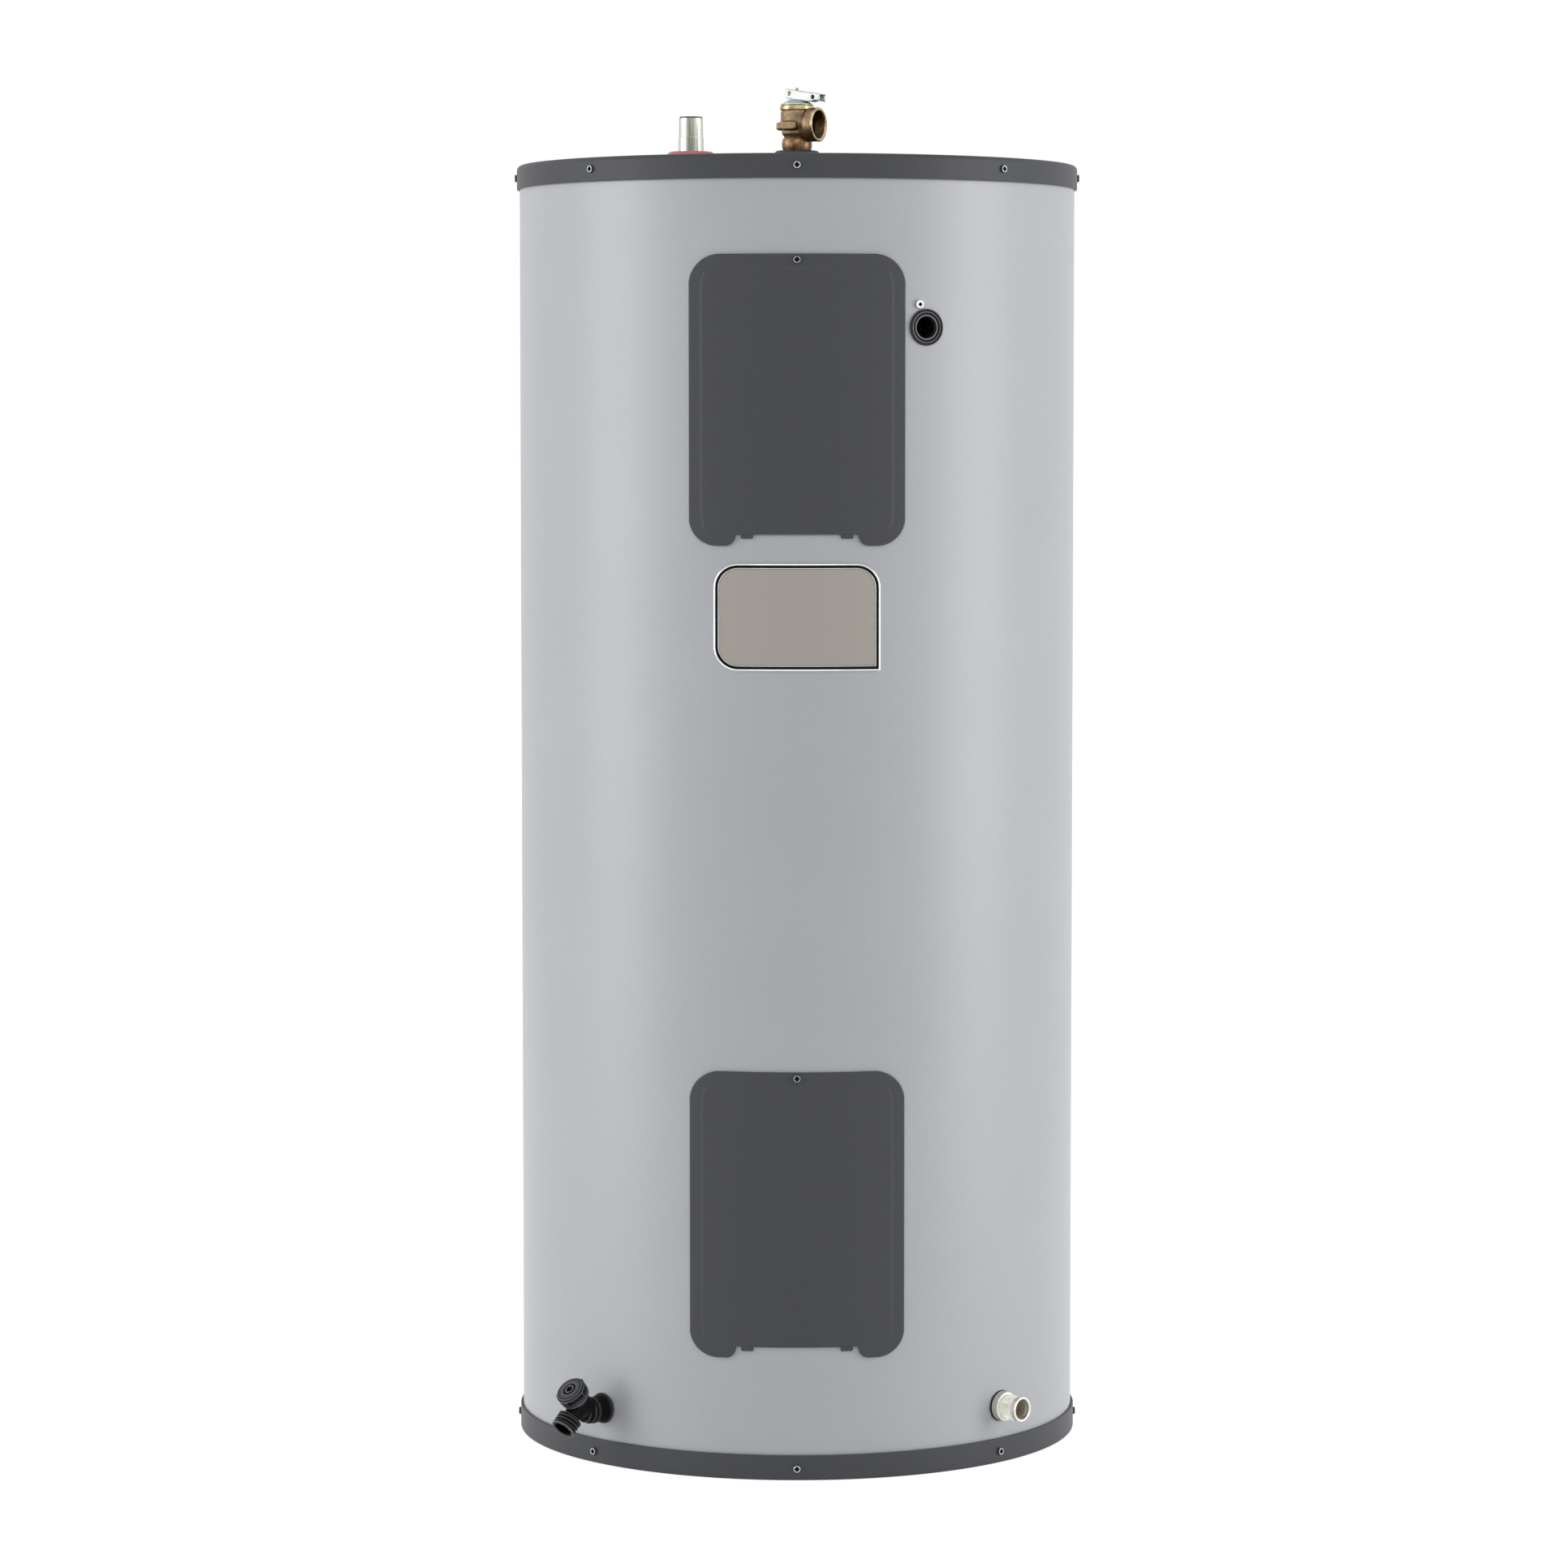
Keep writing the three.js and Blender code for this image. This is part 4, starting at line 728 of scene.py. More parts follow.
def jacket(holes, windows):
    """The sheet drum as a grid of arc length and height, with round holes and square windows.

    A hole is (azimuth, height, radius) and a window is (half width, lower edge, upper edge)."""
    low, high = box("jacket")
    turn = 2 * np.pi * JACKET_R
    spots = [(azimuth * JACKET_R, height, radius) for azimuth, height, radius in holes]
    ring = np.linspace(-turn / 2, turn / 2, 180, endpoint=False)
    rise = np.linspace(low[2], high[2], 56)
    ring = hole_lines(ring, [(s, r) for s, _, r in spots])
    rise = hole_lines(rise, [(z, r) for _, z, r in spots])
    panes = [(math.asin(half / JACKET_R) * JACKET_R, z0, z1) for half, z0, z1 in windows]
    for arc, z0, z1 in panes:
        ring = with_lines(ring, (-arc, arc), WINDOW_CLEAR)
        rise = with_lines(rise, (z0, z1), WINDOW_CLEAR)
    s, z = np.meshgrid(ring, rise, indexing="ij")
    gone = np.zeros((len(ring), len(rise) - 1), bool)
    mid_s = np.append((ring[1:] + ring[:-1]) / 2, turn / 2)[:, None]
    mid_z = ((rise[1:] + rise[:-1]) / 2)[None]
    for arc, z0, z1 in panes:
        gone |= (np.abs(mid_s) < arc) & (mid_z > z0) & (mid_z < z1)
    for centre, height, radius in spots:
        gone |= (np.abs(mid_s - centre) < radius) & (np.abs(mid_z - height) < radius)
    s, z = round_holes(s, z, spots)
    a = s / JACKET_R
    grid = np.stack([JACKET_R * np.sin(a), -JACKET_R * np.cos(a), z], -1)
    return Shape().patch(grid, ring_u=True, keep=~gone.ravel())


def pan(skirt, corner, hem):
    """Profile of a pan from its middle out, over its corner, down its skirt and back inside.

    The corner is a quarter circle, repeated inside the sheet at its own smaller radius."""
    sheet, hem_height = 1.0, 4.5
    a = np.linspace(0, np.pi / 2, 9)
    outer = np.stack([COVER_R - corner + corner * np.sin(a), corner - corner * np.cos(a)], -1)
    flat = np.stack([np.linspace(0, COVER_R - corner - 1.5, 14), np.zeros(14)], -1)
    k = (corner - sheet) / corner
    inner = np.stack([COVER_R - corner + (outer[:, 0] - COVER_R + corner) * k,
                      corner + (outer[:, 1] - corner) * k], -1)[::-1]
    foot = softened([(COVER_R, corner + 1), (COVER_R, skirt), (COVER_R - hem, skirt),
                     (COVER_R - hem, skirt - hem_height), (COVER_R - sheet, skirt - hem_height - 1),
                     (COVER_R - sheet, skirt - hem_height - 2)], 0.7, 5)
    return np.concatenate([flat, outer, foot, inner, [(0, sheet)]])


# ---------------------------------------------------------------- screws


def screw_head(shape, where, radius, height, recess, depth, shank=0.0, side=1):
    """A pan head: rings that pass from a square recess to a round rim as their power falls to 2.

    The recess stands on its corner. The flat ring takes look 0, the rounded side its own look
    and the recess look 2. Look 2's black is painted shade in the recess, and the trim's dark
    finish on the side is a painted shadow round the head."""
    x, y, z = where[:3, :3].T
    where = axes(where[:3, 3], (x + y) * math.sqrt(0.5), (y - x) * math.sqrt(0.5), z)
    crown, shank_radius = 0.28 * height, 1.8
    floor = height - depth
    drive = [(0, 2, floor), (recess * 0.5, 2.5, floor), (recess * 0.84, 6, floor),
             (recess * 0.94, 7, floor + 0.15), (recess * 0.97, 7, height - 0.4)]
    head = [(recess * 0.97, 7, height - 0.4), (recess * 1.03, 6, height - 0.1),
            (recess * 1.12, 4, height), (radius * 0.82, 2.2, height),
            (radius * 0.9, 2, height - 0.3 * crown), (radius * 0.96, 2, height - 0.8 * crown),
            (radius, 2, height - 2.0 * crown), (radius, 2, 0.25), (radius * 0.97, 2, 0.0),
            (shank_radius, 2, 0.0), (shank_radius, 2, -shank), (0, 2, -shank)]
    # the recess is black: painted shade
    shape.patch(powered(where, drive), ring_u=True, look=2)
    # the rounded side takes the side's look; in the trim's dark finish it is a painted shadow
    return shape.patch(powered(where, head), ring_u=True, look=[0] * 4 + [side] * 7)


# ---------------------------------------------------------------- access panels


def panel_edges(a, size):
    """Lower and upper edge of a panel at each distance a from its middle.

    The foot is a notch, a straight flank down to a circle of the small radius, and the lobe,
    whose outer corner is a circle too."""
    edge, top, notch = size["edge"], size["height"], size["notch"]

    def corner(radius, past):
        """How far a quarter circle has drawn back where x is so far past its start."""
        return radius - np.sqrt(np.maximum(radius ** 2 - np.clip(past, 0, radius) ** 2, 0))

    upper = top - corner(size["top_radius"], a - edge + size["top_radius"])
    lower = corner(size["lobe_radius"], a - edge + size["lobe_radius"])
    lower = np.where(a < size["lobe_start"], corner(size["small_radius"], size["lobe_start"] - a),
                     lower)
    flank = (size["flank_foot"] - a) * notch / (size["flank_foot"] - size["notch_x"])
    lower = np.where(a < size["flank_end"], flank, lower)
    return np.where(a < size["notch_x"], notch, lower), upper


def panel_columns(size):
    """The distances from its middle at which a panel has a grid line, close at every corner."""
    edge = size["edge"]
    a = np.linspace(0, np.pi / 2, 15)
    lobe = edge - size["lobe_radius"] * (1 - np.sin(a))
    small = size["lobe_start"] - size["small_radius"] * np.sin(a)
    line = edge - size["press_inset"]
    fine = np.arange(line - size["press_radius"] - 2, line + 3, 1.0)
    lines = np.concatenate([np.arange(0, edge, 5.0), fine, lobe, small[small > size["flank_end"]],
                            [size["flank_end"], size["notch_x"], edge]])
    return unique_lines(lines, 0.2)


def drawn_in(x, z, reach):
    """A line of points moved to its left by a reach, square to the chord between neighbours."""
    dx, dz = np.gradient(x), np.gradient(z)
    length = np.maximum(np.hypot(dx, dz), 1e-9)
    return x - dz / length * reach, z + dx / length * reach


def plate(shape, outline, front, back, bottom):
    """A filled outline as a sheet on the drum between two radii, its front edge rounded."""
    edge = 0.5
    a = np.linspace(0, np.pi / 2, 4)
    section = np.stack([edge * np.sin(a) - edge, front - edge + edge * np.cos(a)], -1)
    section = np.concatenate([section, [(0, back)]])
    border = swept(outline, section)
    shape.patch(border + np.array([0, 0, bottom]), ring_u=True)
    for ring, radius in ((outline - outward(outline) * edge, front), (outline, back)):
        shape.patch(field(ring, radius, bottom), ring_u=True)
    return shape


def panel(bottom, size):
    """A pressed panel on the drum: a field of x and height, and a rim carried round its border.

    The pressed line is a step of the distance to a rounded rectangle inset from the edge."""
    margin, tall, r = size["round"], size["height"], size["press_radius"]
    half = panel_columns(size)
    x = np.concatenate([-half[:0:-1], half])
    low, high = panel_edges(np.abs(x), size)
    above_x, above_z = drawn_in(x[::-1], high[::-1], margin)
    x, low = drawn_in(x, low, margin)
    high = np.interp(x, above_x[::-1], above_z[::-1])
    band, step = 40, 4      # the finer rows' height at foot and head, and the step past them
    foot_rows, head_rows = np.linspace(0, 1, 21)[None], np.linspace(0, 1, 41)[None]
    middle = np.linspace(band + step, tall - band - step, 26)
    z = np.hstack([low[:, None] + (band - low)[:, None] * foot_rows,
                   np.broadcast_to(middle, (len(x), len(middle))),
                   tall - band + (high - tall + band)[:, None] * head_rows])
    x = np.broadcast_to(x[:, None], z.shape)
    flat = np.stack([x, z], -1)
    foot, head = size["notch"] + size["press_bottom"], tall - size["press_top"]
    past_x = np.abs(x) - size["edge"] + size["press_inset"]
    past_z = np.abs(z - (foot + head) / 2) - (head - foot) / 2
    rounded = np.hypot(np.maximum(past_x + r, 0), np.maximum(past_z + r, 0)) - r
    distance = np.minimum(np.maximum(past_x, past_z), 0) + np.maximum(rounded, 0)
    skin = PANEL_SKIN - size["press_depth"] * smoothstep(-1.0, 1.0, distance)
    face = wrapped(flat, skin, bottom)
    back = wrapped(flat, skin - size["sheet"], bottom)
    border = np.concatenate([flat[:-1, 0], flat[-1, :-1], flat[:0:-1, -1], flat[0, :0:-1]])
    at = PANEL_SKIN - size["press_depth"]
    a = np.linspace(0, np.pi / 2, 6)
    outer = np.stack([margin * np.sin(a), at - margin + margin * np.cos(a)], -1)
    seat = JACKET_R + PANEL_FIT
    inside = np.array([(margin, seat + 0.4), (margin - 0.2, seat), (margin - size["sheet"], seat),
                       (margin - size["sheet"], at - margin), (0, at - size["sheet"])])
    edge = swept(border, np.concatenate([outer, inside])) + np.array([0, 0, bottom])
    return Shape().patch(face).patch(back[:, ::-1]).patch(edge, ring_u=True)


# ---------------------------------------------------------------- pipes


def threaded(radius_low, radius_high, z0, z1, pitch, depth, per_turn=8):
    """A pipe thread as one surface of turn and height.

    The radius falls from its taper by the depth times |2f - 1|, where f is how far the point
    is through its turn of the helix; the thread fades out over one pitch at each end."""
    rows = int((z1 - z0) / pitch * per_turn) + 1
    z = np.linspace(z0, z1, rows)[None]
    turn = np.linspace(0, 2 * np.pi, 96, endpoint=False)[:, None]
    part = np.mod((z - z0) / pitch - turn / (2 * np.pi), 1)
    fade = np.clip(np.minimum(z - z0, z1 - z) / pitch, 0, 1)
    share = (z - z0) / (z1 - z0)
    radius = radius_low + (radius_high - radius_low) * share
    return polar(turn, radius - depth * np.abs(2 * part - 1) * fade, z)


def nipple(where, taper, start, thread_start, end, pitch, depth, trap, cut=0):
    """A pipe nipple: barrel, tapered thread, rounded lip, and a lined bore down to its trap.

    The plated outside takes look 0, the liner look 1 and the cut end its own. Without a depth
    of thread the barrel steps down to its end instead."""
    radius, bore, lip = PIPE_RADIUS, PIPE_BORE, 1.6
    shape = Shape().turned([(radius, start), (radius, thread_start)], where, 96)
    if depth:
        thread = threaded(radius, radius - taper, thread_start, end - lip, pitch, depth)
        shape.patch(placed(thread, where), ring_u=True)
    else:
        step = [(radius, thread_start), (radius, thread_start + 0.6),
                (radius - taper + 0.3, thread_start + 1.4), (radius - taper, end - lip)]
        shape.lathed(step, where, 96, 0.3)
    a = np.linspace(0, np.pi, 9)
    mid, half = (radius - taper + bore) / 2, (radius - taper - bore) / 2
    rounded = np.stack([mid + half * np.cos(a), end - lip + lip * np.sin(a)], -1)
    shape.turned(rounded, where, 96, cut)
    liner = [(bore, end - lip), (bore - 0.3, end - lip - 0.6), (bore - 0.3, end - trap),
             (2.6, end - trap), (2.2, end - trap - 0.8), (0, end - trap - 0.9)]
    shape.lathed(liner, where, 72, 0.3, look=1)
    return shape.turned([(0, start), (radius, start)], where, 96)


# ---------------------------------------------------------------- fused castings


def fused(made, drill, cell, rounds):
    """Runs a piece's overlapping shells together as one casting: remade on a lattice, eased,
    then drilled by a shape.

    The lattice's cell is in millimetres; each round of easing softens every inner corner."""
    tool = drill.piece(made.name + "_drill", made.data.materials[:], "heater")
    remesh = made.modifiers.new("fuse", "REMESH")
    remesh.mode = "VOXEL"
    remesh.voxel_size = cell * MM
    remesh.use_smooth_shade = True
    ease = made.modifiers.new("ease", "CORRECTIVE_SMOOTH")
    ease.smooth_type = "LENGTH_WEIGHTED"
    ease.use_only_smooth = True
    ease.iterations = rounds
    bore = made.modifiers.new("drill", "BOOLEAN")
    bore.operation = "DIFFERENCE"
    bore.object = tool
    depsgraph = bpy.context.evaluated_depsgraph_get()
    mesh = bpy.data.meshes.new_from_object(made.evaluated_get(depsgraph))
    made.modifiers.clear()
    made.data = mesh
    mesh.polygons.foreach_set("use_smooth", np.ones(len(mesh.polygons), bool))
    mesh.set_sharp_from_angle(angle=math.radians(SHARP))
    bpy.data.objects.remove(tool)


# ---------------------------------------------------------------- sizes and colours


def millimetres(name, text, value):
    """A length given in millimetres and kept in metres, with its name and description."""
    return bpy.props.FloatProperty(name=name, description=text, default=value * MM, min=0,
                                   precision=5, subtype="DISTANCE", unit="LENGTH")


def hue(name, text, value):
    """A display colour with its name and description."""
    return bpy.props.FloatVectorProperty(name=name, description=text, subtype="COLOR_GAMMA",
                                         size=3, min=0, max=1, default=shares(value))


class HEATER_PG_sizes(bpy.types.PropertyGroup):
    """Sizes of the details that the frame's boxes don't give."""

    cover_corner: millimetres("Cover corner", "Rounding between deck and skirt", 5.0)
    base_corner: millimetres("Base corner", "Rounding between base and skirt", 2.0)
    cover_skirt: millimetres("Cover skirt", "Height of the top cover's skirt", 25.7)
    base_skirt: millimetres("Base skirt", "Height of the base pan's skirt", 26.4)
    hem: millimetres("Hem", "Thickness of a skirt's folded hem", 2.6)
    press_depth: millimetres("Pressed step", "Depth of the step round a panel", 0.5)
    press_inset: millimetres("Step inset", "Step's distance from a panel's sides", 13.0)
    press_top: millimetres("Step below top", "Step's distance from a panel's top", 14.5)
    panel_corner: millimetres("Panel corner", "Radius of a panel's upper corners", 32.0)
    panel_lobe: millimetres("Panel lobe", "Outer radius of a panel's two feet", 29.0)
    badge_corner: millimetres("Badge corner", "Radius of the badge's three round corners", 25.0)
    screw_radius: millimetres("Screw head", "Radius of the heads on rims and panels", 4.0)
    screw_drive: millimetres("Screw recess", "Half the width of their square recess", 2.25)
    pipe_pitch: millimetres("Pipe thread pitch", "Pitch of the 3/4 inch pipe thread", 1.81)


class HEATER_PG_colours(bpy.types.PropertyGroup):
    """Colours that a user would change."""

    jacket: hue("Jacket", "Enamel of the drum", "#B0B2B7")
    trim: hue("Trim", "Powder coat of the rims and panels", "#46474B")
    badge: hue("Badge", "Field of the badge", "#A7A199")
    hot_ring: hue("Hot ring", "Plastic ring at the hot outlet", "#E0777E")
    bronze: hue("Bronze", "Cast body of the relief valve", "#B39C7C")
    plastic: hue("Plastic", "Moulding of the drain valve", "#0F0F10")


def length(name):
    """One of the user's lengths in millimetres, cleared of its rounding in single precision."""
    return round(getattr(bpy.context.scene.heater_sizes, name) / MM, 4)


def finish_of(*slots):
    """The finishes of the given slots, made by the first call."""
    if not FINISHES:
        make_finishes(bpy.context.scene.heater_colours)
    return [FINISHES[slot] for slot in slots]


def shown(shape, name, finishes, slot, *nodes, body="heater", weld=0.002):
    """A shape as a piece: its finishes in the order of its looks, a slot, which is not used,
    and the nodes that it is seen in place of."""
    made = shape.piece(name, finish_of(*finishes.split()), body, weld)
    if nodes:
        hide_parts(*nodes)
    return made


# ---------------------------------------------------------------- operators


class HEATER_OT_drum(bpy.types.Operator):
    """Sheet drum with its two windows and the holes of its fittings"""

    bl_idname = "heater.drum"
    bl_label = "Drum"

    def execute(self, context):
        windows = [(WINDOW_HALF, *panel_window(level)) for level in (UPPER, LOWER)]
        radii = {"cable_grommet": GROMMET_HOLE, "cold_inlet_ring": 13.8,
                 "drain_valve_collar": 12.9, "upper_panel_screw": 2.6, "lower_panel_screw": 2.6}
        holes = [(azimuth_of(node), height_of(node), radius) for node, radius in radii.items()]
        made = shown(jacket(holes, windows), "drum_jacket", "jacket_paint", "jacket_paint",
                     "jacket")
        thicken(made, JACKET_SHEET)
        return {"FINISHED"}


class HEATER_OT_rims(bpy.types.Operator):
    """Top cover and base pan, pressed pans with a folded hem"""

    bl_idname = "heater.rims"
    bl_label = "Rims"

    def execute(self, context):
        for rim, node, level, up in (("cover", "top_cover", DECK, -1), ("base", "base_pan", 0, 1)):
            profile = pan(length(f"{rim}_skirt"), length(f"{rim}_corner"), length("hem"))
            shown(Shape().turned(profile * (1, up), upright(0, 0, level), 192),
                  f"{node}_pressed", "dark_trim", "dark_trim", node)
        return {"FINISHED"}


class HEATER_OT_rim_screws(bpy.types.Operator):
    """Square drive screws round the two rims"""

    bl_idname = "heater.rim_screws"
    bl_label = "Rim screws"

    def execute(self, context):
        radius, drive = length("screw_radius"), length("screw_drive")
        for rim in ("top", "base"):
            names = [f"{rim}_screw_{i}" for i in range(1, 6)]
            shape = Shape()
            for name in names:
                where = radial(azimuth_of(name), height_of(name))
                seat = stood_at(where, (0, 0, COVER_R + FIT), where[:3, 2])
                screw_head(shape, seat, radius, SCREW_HEIGHT, drive, SCREW_RECESS)
            for azimuth in (135, 180, 225):
                where = radial(math.radians(azimuth), height_of(names[0]))
                seat = stood_at(where, (0, 0, COVER_R), where[:3, 2])
                screw_head(shape, seat, radius, 2.0, drive, 1.5)
            # the heads' sides in the trim's dark finish and their black recesses are painted shade
            shown(shape, f"{rim}_rim_screws", "screw_zinc dark_trim black_steel", "zinc", *names)
        return {"FINISHED"}


class HEATER_OT_panels(bpy.types.Operator):
    """Pressed access panels with their screws"""

    bl_idname = "heater.panels"
    bl_label = "Access panels"

    def execute(self, context):
        radius, drive = length("screw_radius"), length("screw_drive")
        for level in (UPPER, LOWER):
            low, high = box(f"{level}_access_panel")
            size = {**PANEL_FOOT, **PANEL_PRESSING, "edge": high[0], "height": high[2] - low[2],
                    "top_radius": length("panel_corner"), "lobe_radius": length("panel_lobe"),
                    "press_inset": length("press_inset"), "press_top": length("press_top"),
                    "press_depth": length("press_depth")}
            shape = panel(low[2], size)
            for x0, x1 in ((-58.6, -45.6), (45.6, 58.6)):
                tongue = resampled(rounded_rectangle(x0, x1, 7.7, 17.5, (1.4, 0.3, 0.3, 1.4)), 1.5)
                plate(shape, tongue, PANEL_SKIN - 1.5, PANEL_SKIN - 2.3, low[2])
            shown(shape, f"{level}_panel_pressed", "dark_trim", "dark_trim",
                  f"{level}_access_panel", body=f"{level}_panel", weld=0.02)
            node = f"{level}_panel_screw"
            where = aimed((0, -(PANEL_SKIN + FIT), height_of(node)), (0, -1, 0))
            shape = screw_head(Shape(), where, radius, SCREW_HEIGHT, drive, SCREW_RECESS, 5.0)
            # the panel screw's darker zinc is a painted dark reflection; its side and recess are
            # painted shade
            shown(shape, f"{level}_panel_fixing", "panel_zinc dark_trim black_steel", "zinc",
                  node, body=f"{level}_panel")
        return {"FINISHED"}


class HEATER_OT_badge(bpy.types.Operator):
    """Chrome framed badge with a bare field"""

    bl_idname = "heater.badge"
    bl_label = "Badge"

    def execute(self, context):
        low, high = box("badge_frame")
        half, tall, r = high[0], high[2] - low[2], length("badge_corner")
        back, face = JACKET_R + FIT, -low[1]

        border = resampled(rounded_rectangle(-half, half, 0, tall, (0.4, r, r, r)), 3.0)
        normal = outward(border)
        near = 12
        by_corner = ((border[:, 0] > half - near) & (border[:, 1] < near))[:, None]

        def inset(reach):
            """The outline drawn in by a reach, its lower right corner kept square."""
            square = np.stack([np.minimum(border[:, 0], half - reach),
                               np.maximum(border[:, 1], reach)], -1)
            return np.where(by_corner, square, border - normal * reach)

        a = np.linspace(0, np.pi, 9)
        ridge = np.stack([-1.0 + 1.0 * np.cos(a), face - 1.0 + 1.0 * np.sin(a)], -1)
        line = np.stack([-5.0 + 0.35 * np.cos(a), face - 1.5 + 0.35 * np.sin(a)], -1)
        section = np.concatenate([[(0, back)], ridge, [(-2.3, face - 1.8), (-4.5, face - 1.8)],
                                  line, [(-5.6, back), (0, back)]])
        looks = [0] * 9 + [1] * 3 + [0] * 10
        grid = np.stack([wrapped(inset(-reach), radius, low[2]) for reach, radius in section], 1)
        shown(Shape().patch(grid, ring_u=True, look=looks), "badge_chrome",
              "bright_frame badge_black", "bright_frame", "badge_frame")

        outline, levels = inset(5.8), (back + 1.4, back)
        shape = Shape()
        for radius in levels:
            shape.patch(field(outline, radius, low[2]), ring_u=True)
        sides = [wrapped(outline, radius, low[2]) for radius in levels]
        shown(shape.patch(np.stack(sides, 1), ring_u=True), "badge_field", "badge_taupe",
              "badge_taupe", "badge_plate")
        return {"FINISHED"}


class HEATER_OT_grommet(bpy.types.Operator):
    """Rubber cable grommet and the ground screw above it"""

    bl_idname = "heater.grommet"
    bl_label = "Grommet and ground screw"

    def execute(self, context):
        where = radial(azimuth_of("cable_grommet"), height_of("cable_grommet"))
        seat = JACKET_R + FIT
        profile = np.array([(11.25, -4), (GROMMET_HOLE, -4), (GROMMET_HOLE, -2), (13.6, -2),
                            (13.6, 0), (19, 0), (19, 1.3), (18.7, 1.8), (18.1, 2.0),
                            (17.3, 1.9), (16.3, 1.3), (15.5, 1.2), (15.1, 0.9), (14.7, 0.4),
                            (13.4, 0.4), (13.1, 0.7), (12.7, 0.9), (11.9, 0.9), (11.5, 0.7),
                            (11.25, 0.2), (11.25, -4)])
        looks = np.zeros(len(profile) - 1, int)
        looks[[10, 15, 16]] = 1     # pale rings on these edges are painted highlights
        shown(Shape().turned(profile + (0, seat), where, 96, looks), "cable_grommet_ring",
              "black_rubber worn_rubber", "black_rubber", "cable_grommet")
        # a closed black rubber cup 30 mm deep behind the grommet, so that the cable's hole shows
        # dark: painted shade
        lining = [(12.6, JACKET_R - 4.2), (12.6, JACKET_R - 34), (0, JACKET_R - 34)]
        shown(Shape().lathed(lining, where, 48, 3, 6), "cable_hole_shade_cup", "black_rubber",
              "black_rubber")
        where = radial(azimuth_of("ground_screw"), height_of("ground_screw"))
        head = stood_at(where, (0, 0, seat), where[:3, 2])
        # the ground screw's black recess is painted shade
        shown(screw_head(Shape(), head, 4.7, 3.0, 1.8, 2.0, side=0), "ground_screw_head",
              "green_zinc dark_trim black_steel", "green_zinc", "ground_screw")
        return {"FINISHED"}


class HEATER_OT_nipples(bpy.types.Operator):
    """Hot outlet and cold inlet nipples with their rings"""

    bl_idname = "heater.nipples"
    bl_label = "Water nipples"

    def execute(self, context):
        pitch = length("pipe_pitch")
        x, y, _ = middle_of("hot_outlet_nipple")
        where = upright(x, y, 0)
        end = box("hot_outlet_nipple")[1][2]
        shown(nipple(where, 0.85, DECK - 60, end - 23.5, end, pitch, 0, 14, cut=2),
              "hot_nipple_pipe", "drawn_zinc pale_liner cut_steel", "green_zinc",
              "hot_outlet_nipple")
        seat, top = DECK + FIT, DECK + 11.2
        ring = [(PIPE_HOLE, seat), (28.5, seat), (28.1, DECK + 6.6), (22.4, top),
                (PIPE_HOLE, top), (PIPE_HOLE, seat)]
        shown(Shape().lathed(ring, where, 96, 0.7, 4), "hot_nipple_ring", "red_ring", "red_ring",
              "hot_outlet_ring")

        where = radial(azimuth_of("cold_inlet_ring"), height_of("cold_inlet_ring"))
        end = JACKET_R + 32
        shown(nipple(where, 0.5, JACKET_R - 40, end - 21, end - 4.0, pitch, 1.0, 12),
              "cold_nipple_pipe", "cream_zinc pale_liner", "zinc", "cold_inlet_nipple")
        seat = JACKET_R + FIT
        ring = [(PIPE_HOLE, seat), (16.2, seat), (16.2, seat + 0.9), (PIPE_HOLE, seat + 0.9),
                (PIPE_HOLE, seat)]
        shown(Shape().lathed(ring, where, 96, 0.3, 4), "cold_nipple_ring", "black_rubber",
              "black_plastic", "cold_inlet_ring")
        bush = [(13.2, seat + 0.9), (15.5, seat + 0.9), (15.5, seat + 8.6), (14.9, seat + 9.4),
                (13.2, seat + 9.6), (13.2, seat + 0.9)]
        shape = Shape().lathed(bush, where, 96, 0.5, 4)
        lip = [(10.5, end - 4.2), (13.2, end - 4.2), (PIPE_RADIUS, end - 1.2), (12.6, end),
               (11.2, end - 0.1), (10.5, end - 1.4), (10.5, end - 4.2)]
        shown(shape.lathed(lip, where, 96, 0.4, 4), "cold_nipple_bush", "cream_zinc", "zinc")
        return {"FINISHED"}


class HEATER_OT_anode_cap(bpy.types.Operator):
    """Moulded plug over the anode's port"""

    bl_idname = "heater.anode_cap"
    bl_label = "Anode cap"

    def execute(self, context):
        x, y, _ = middle_of("anode_cap")
        lowered = 2.2       # under its solid, so that it hides behind the cover's edge
        top = box("anode_cap")[1][2] - DECK - lowered
        profile = [(0, -12), (15.9, -12), (15.9, 0.4), (18.9, 0.4), (18.9, top - 3), (16.2, top),
                   (12.0, top), (11.2, top - 1.6), (0, top - 1.6)]
        shown(Shape().lathed(profile, upright(x, y, DECK), 96, 0.8, 4), "anode_plug",
              "black_plastic", "black_plastic", "anode_cap")
        return {"FINISHED"}


def relief_frame():
    """Standing on the deck at the relief valve, local x towards its outlet and lever."""
    x, y, _ = middle_of("relief_escutcheon")
    hinge = joint("relief_lever_lift")["axis"]
    return upright(x, y, DECK, math.atan2(-hinge[1], -hinge[0]))


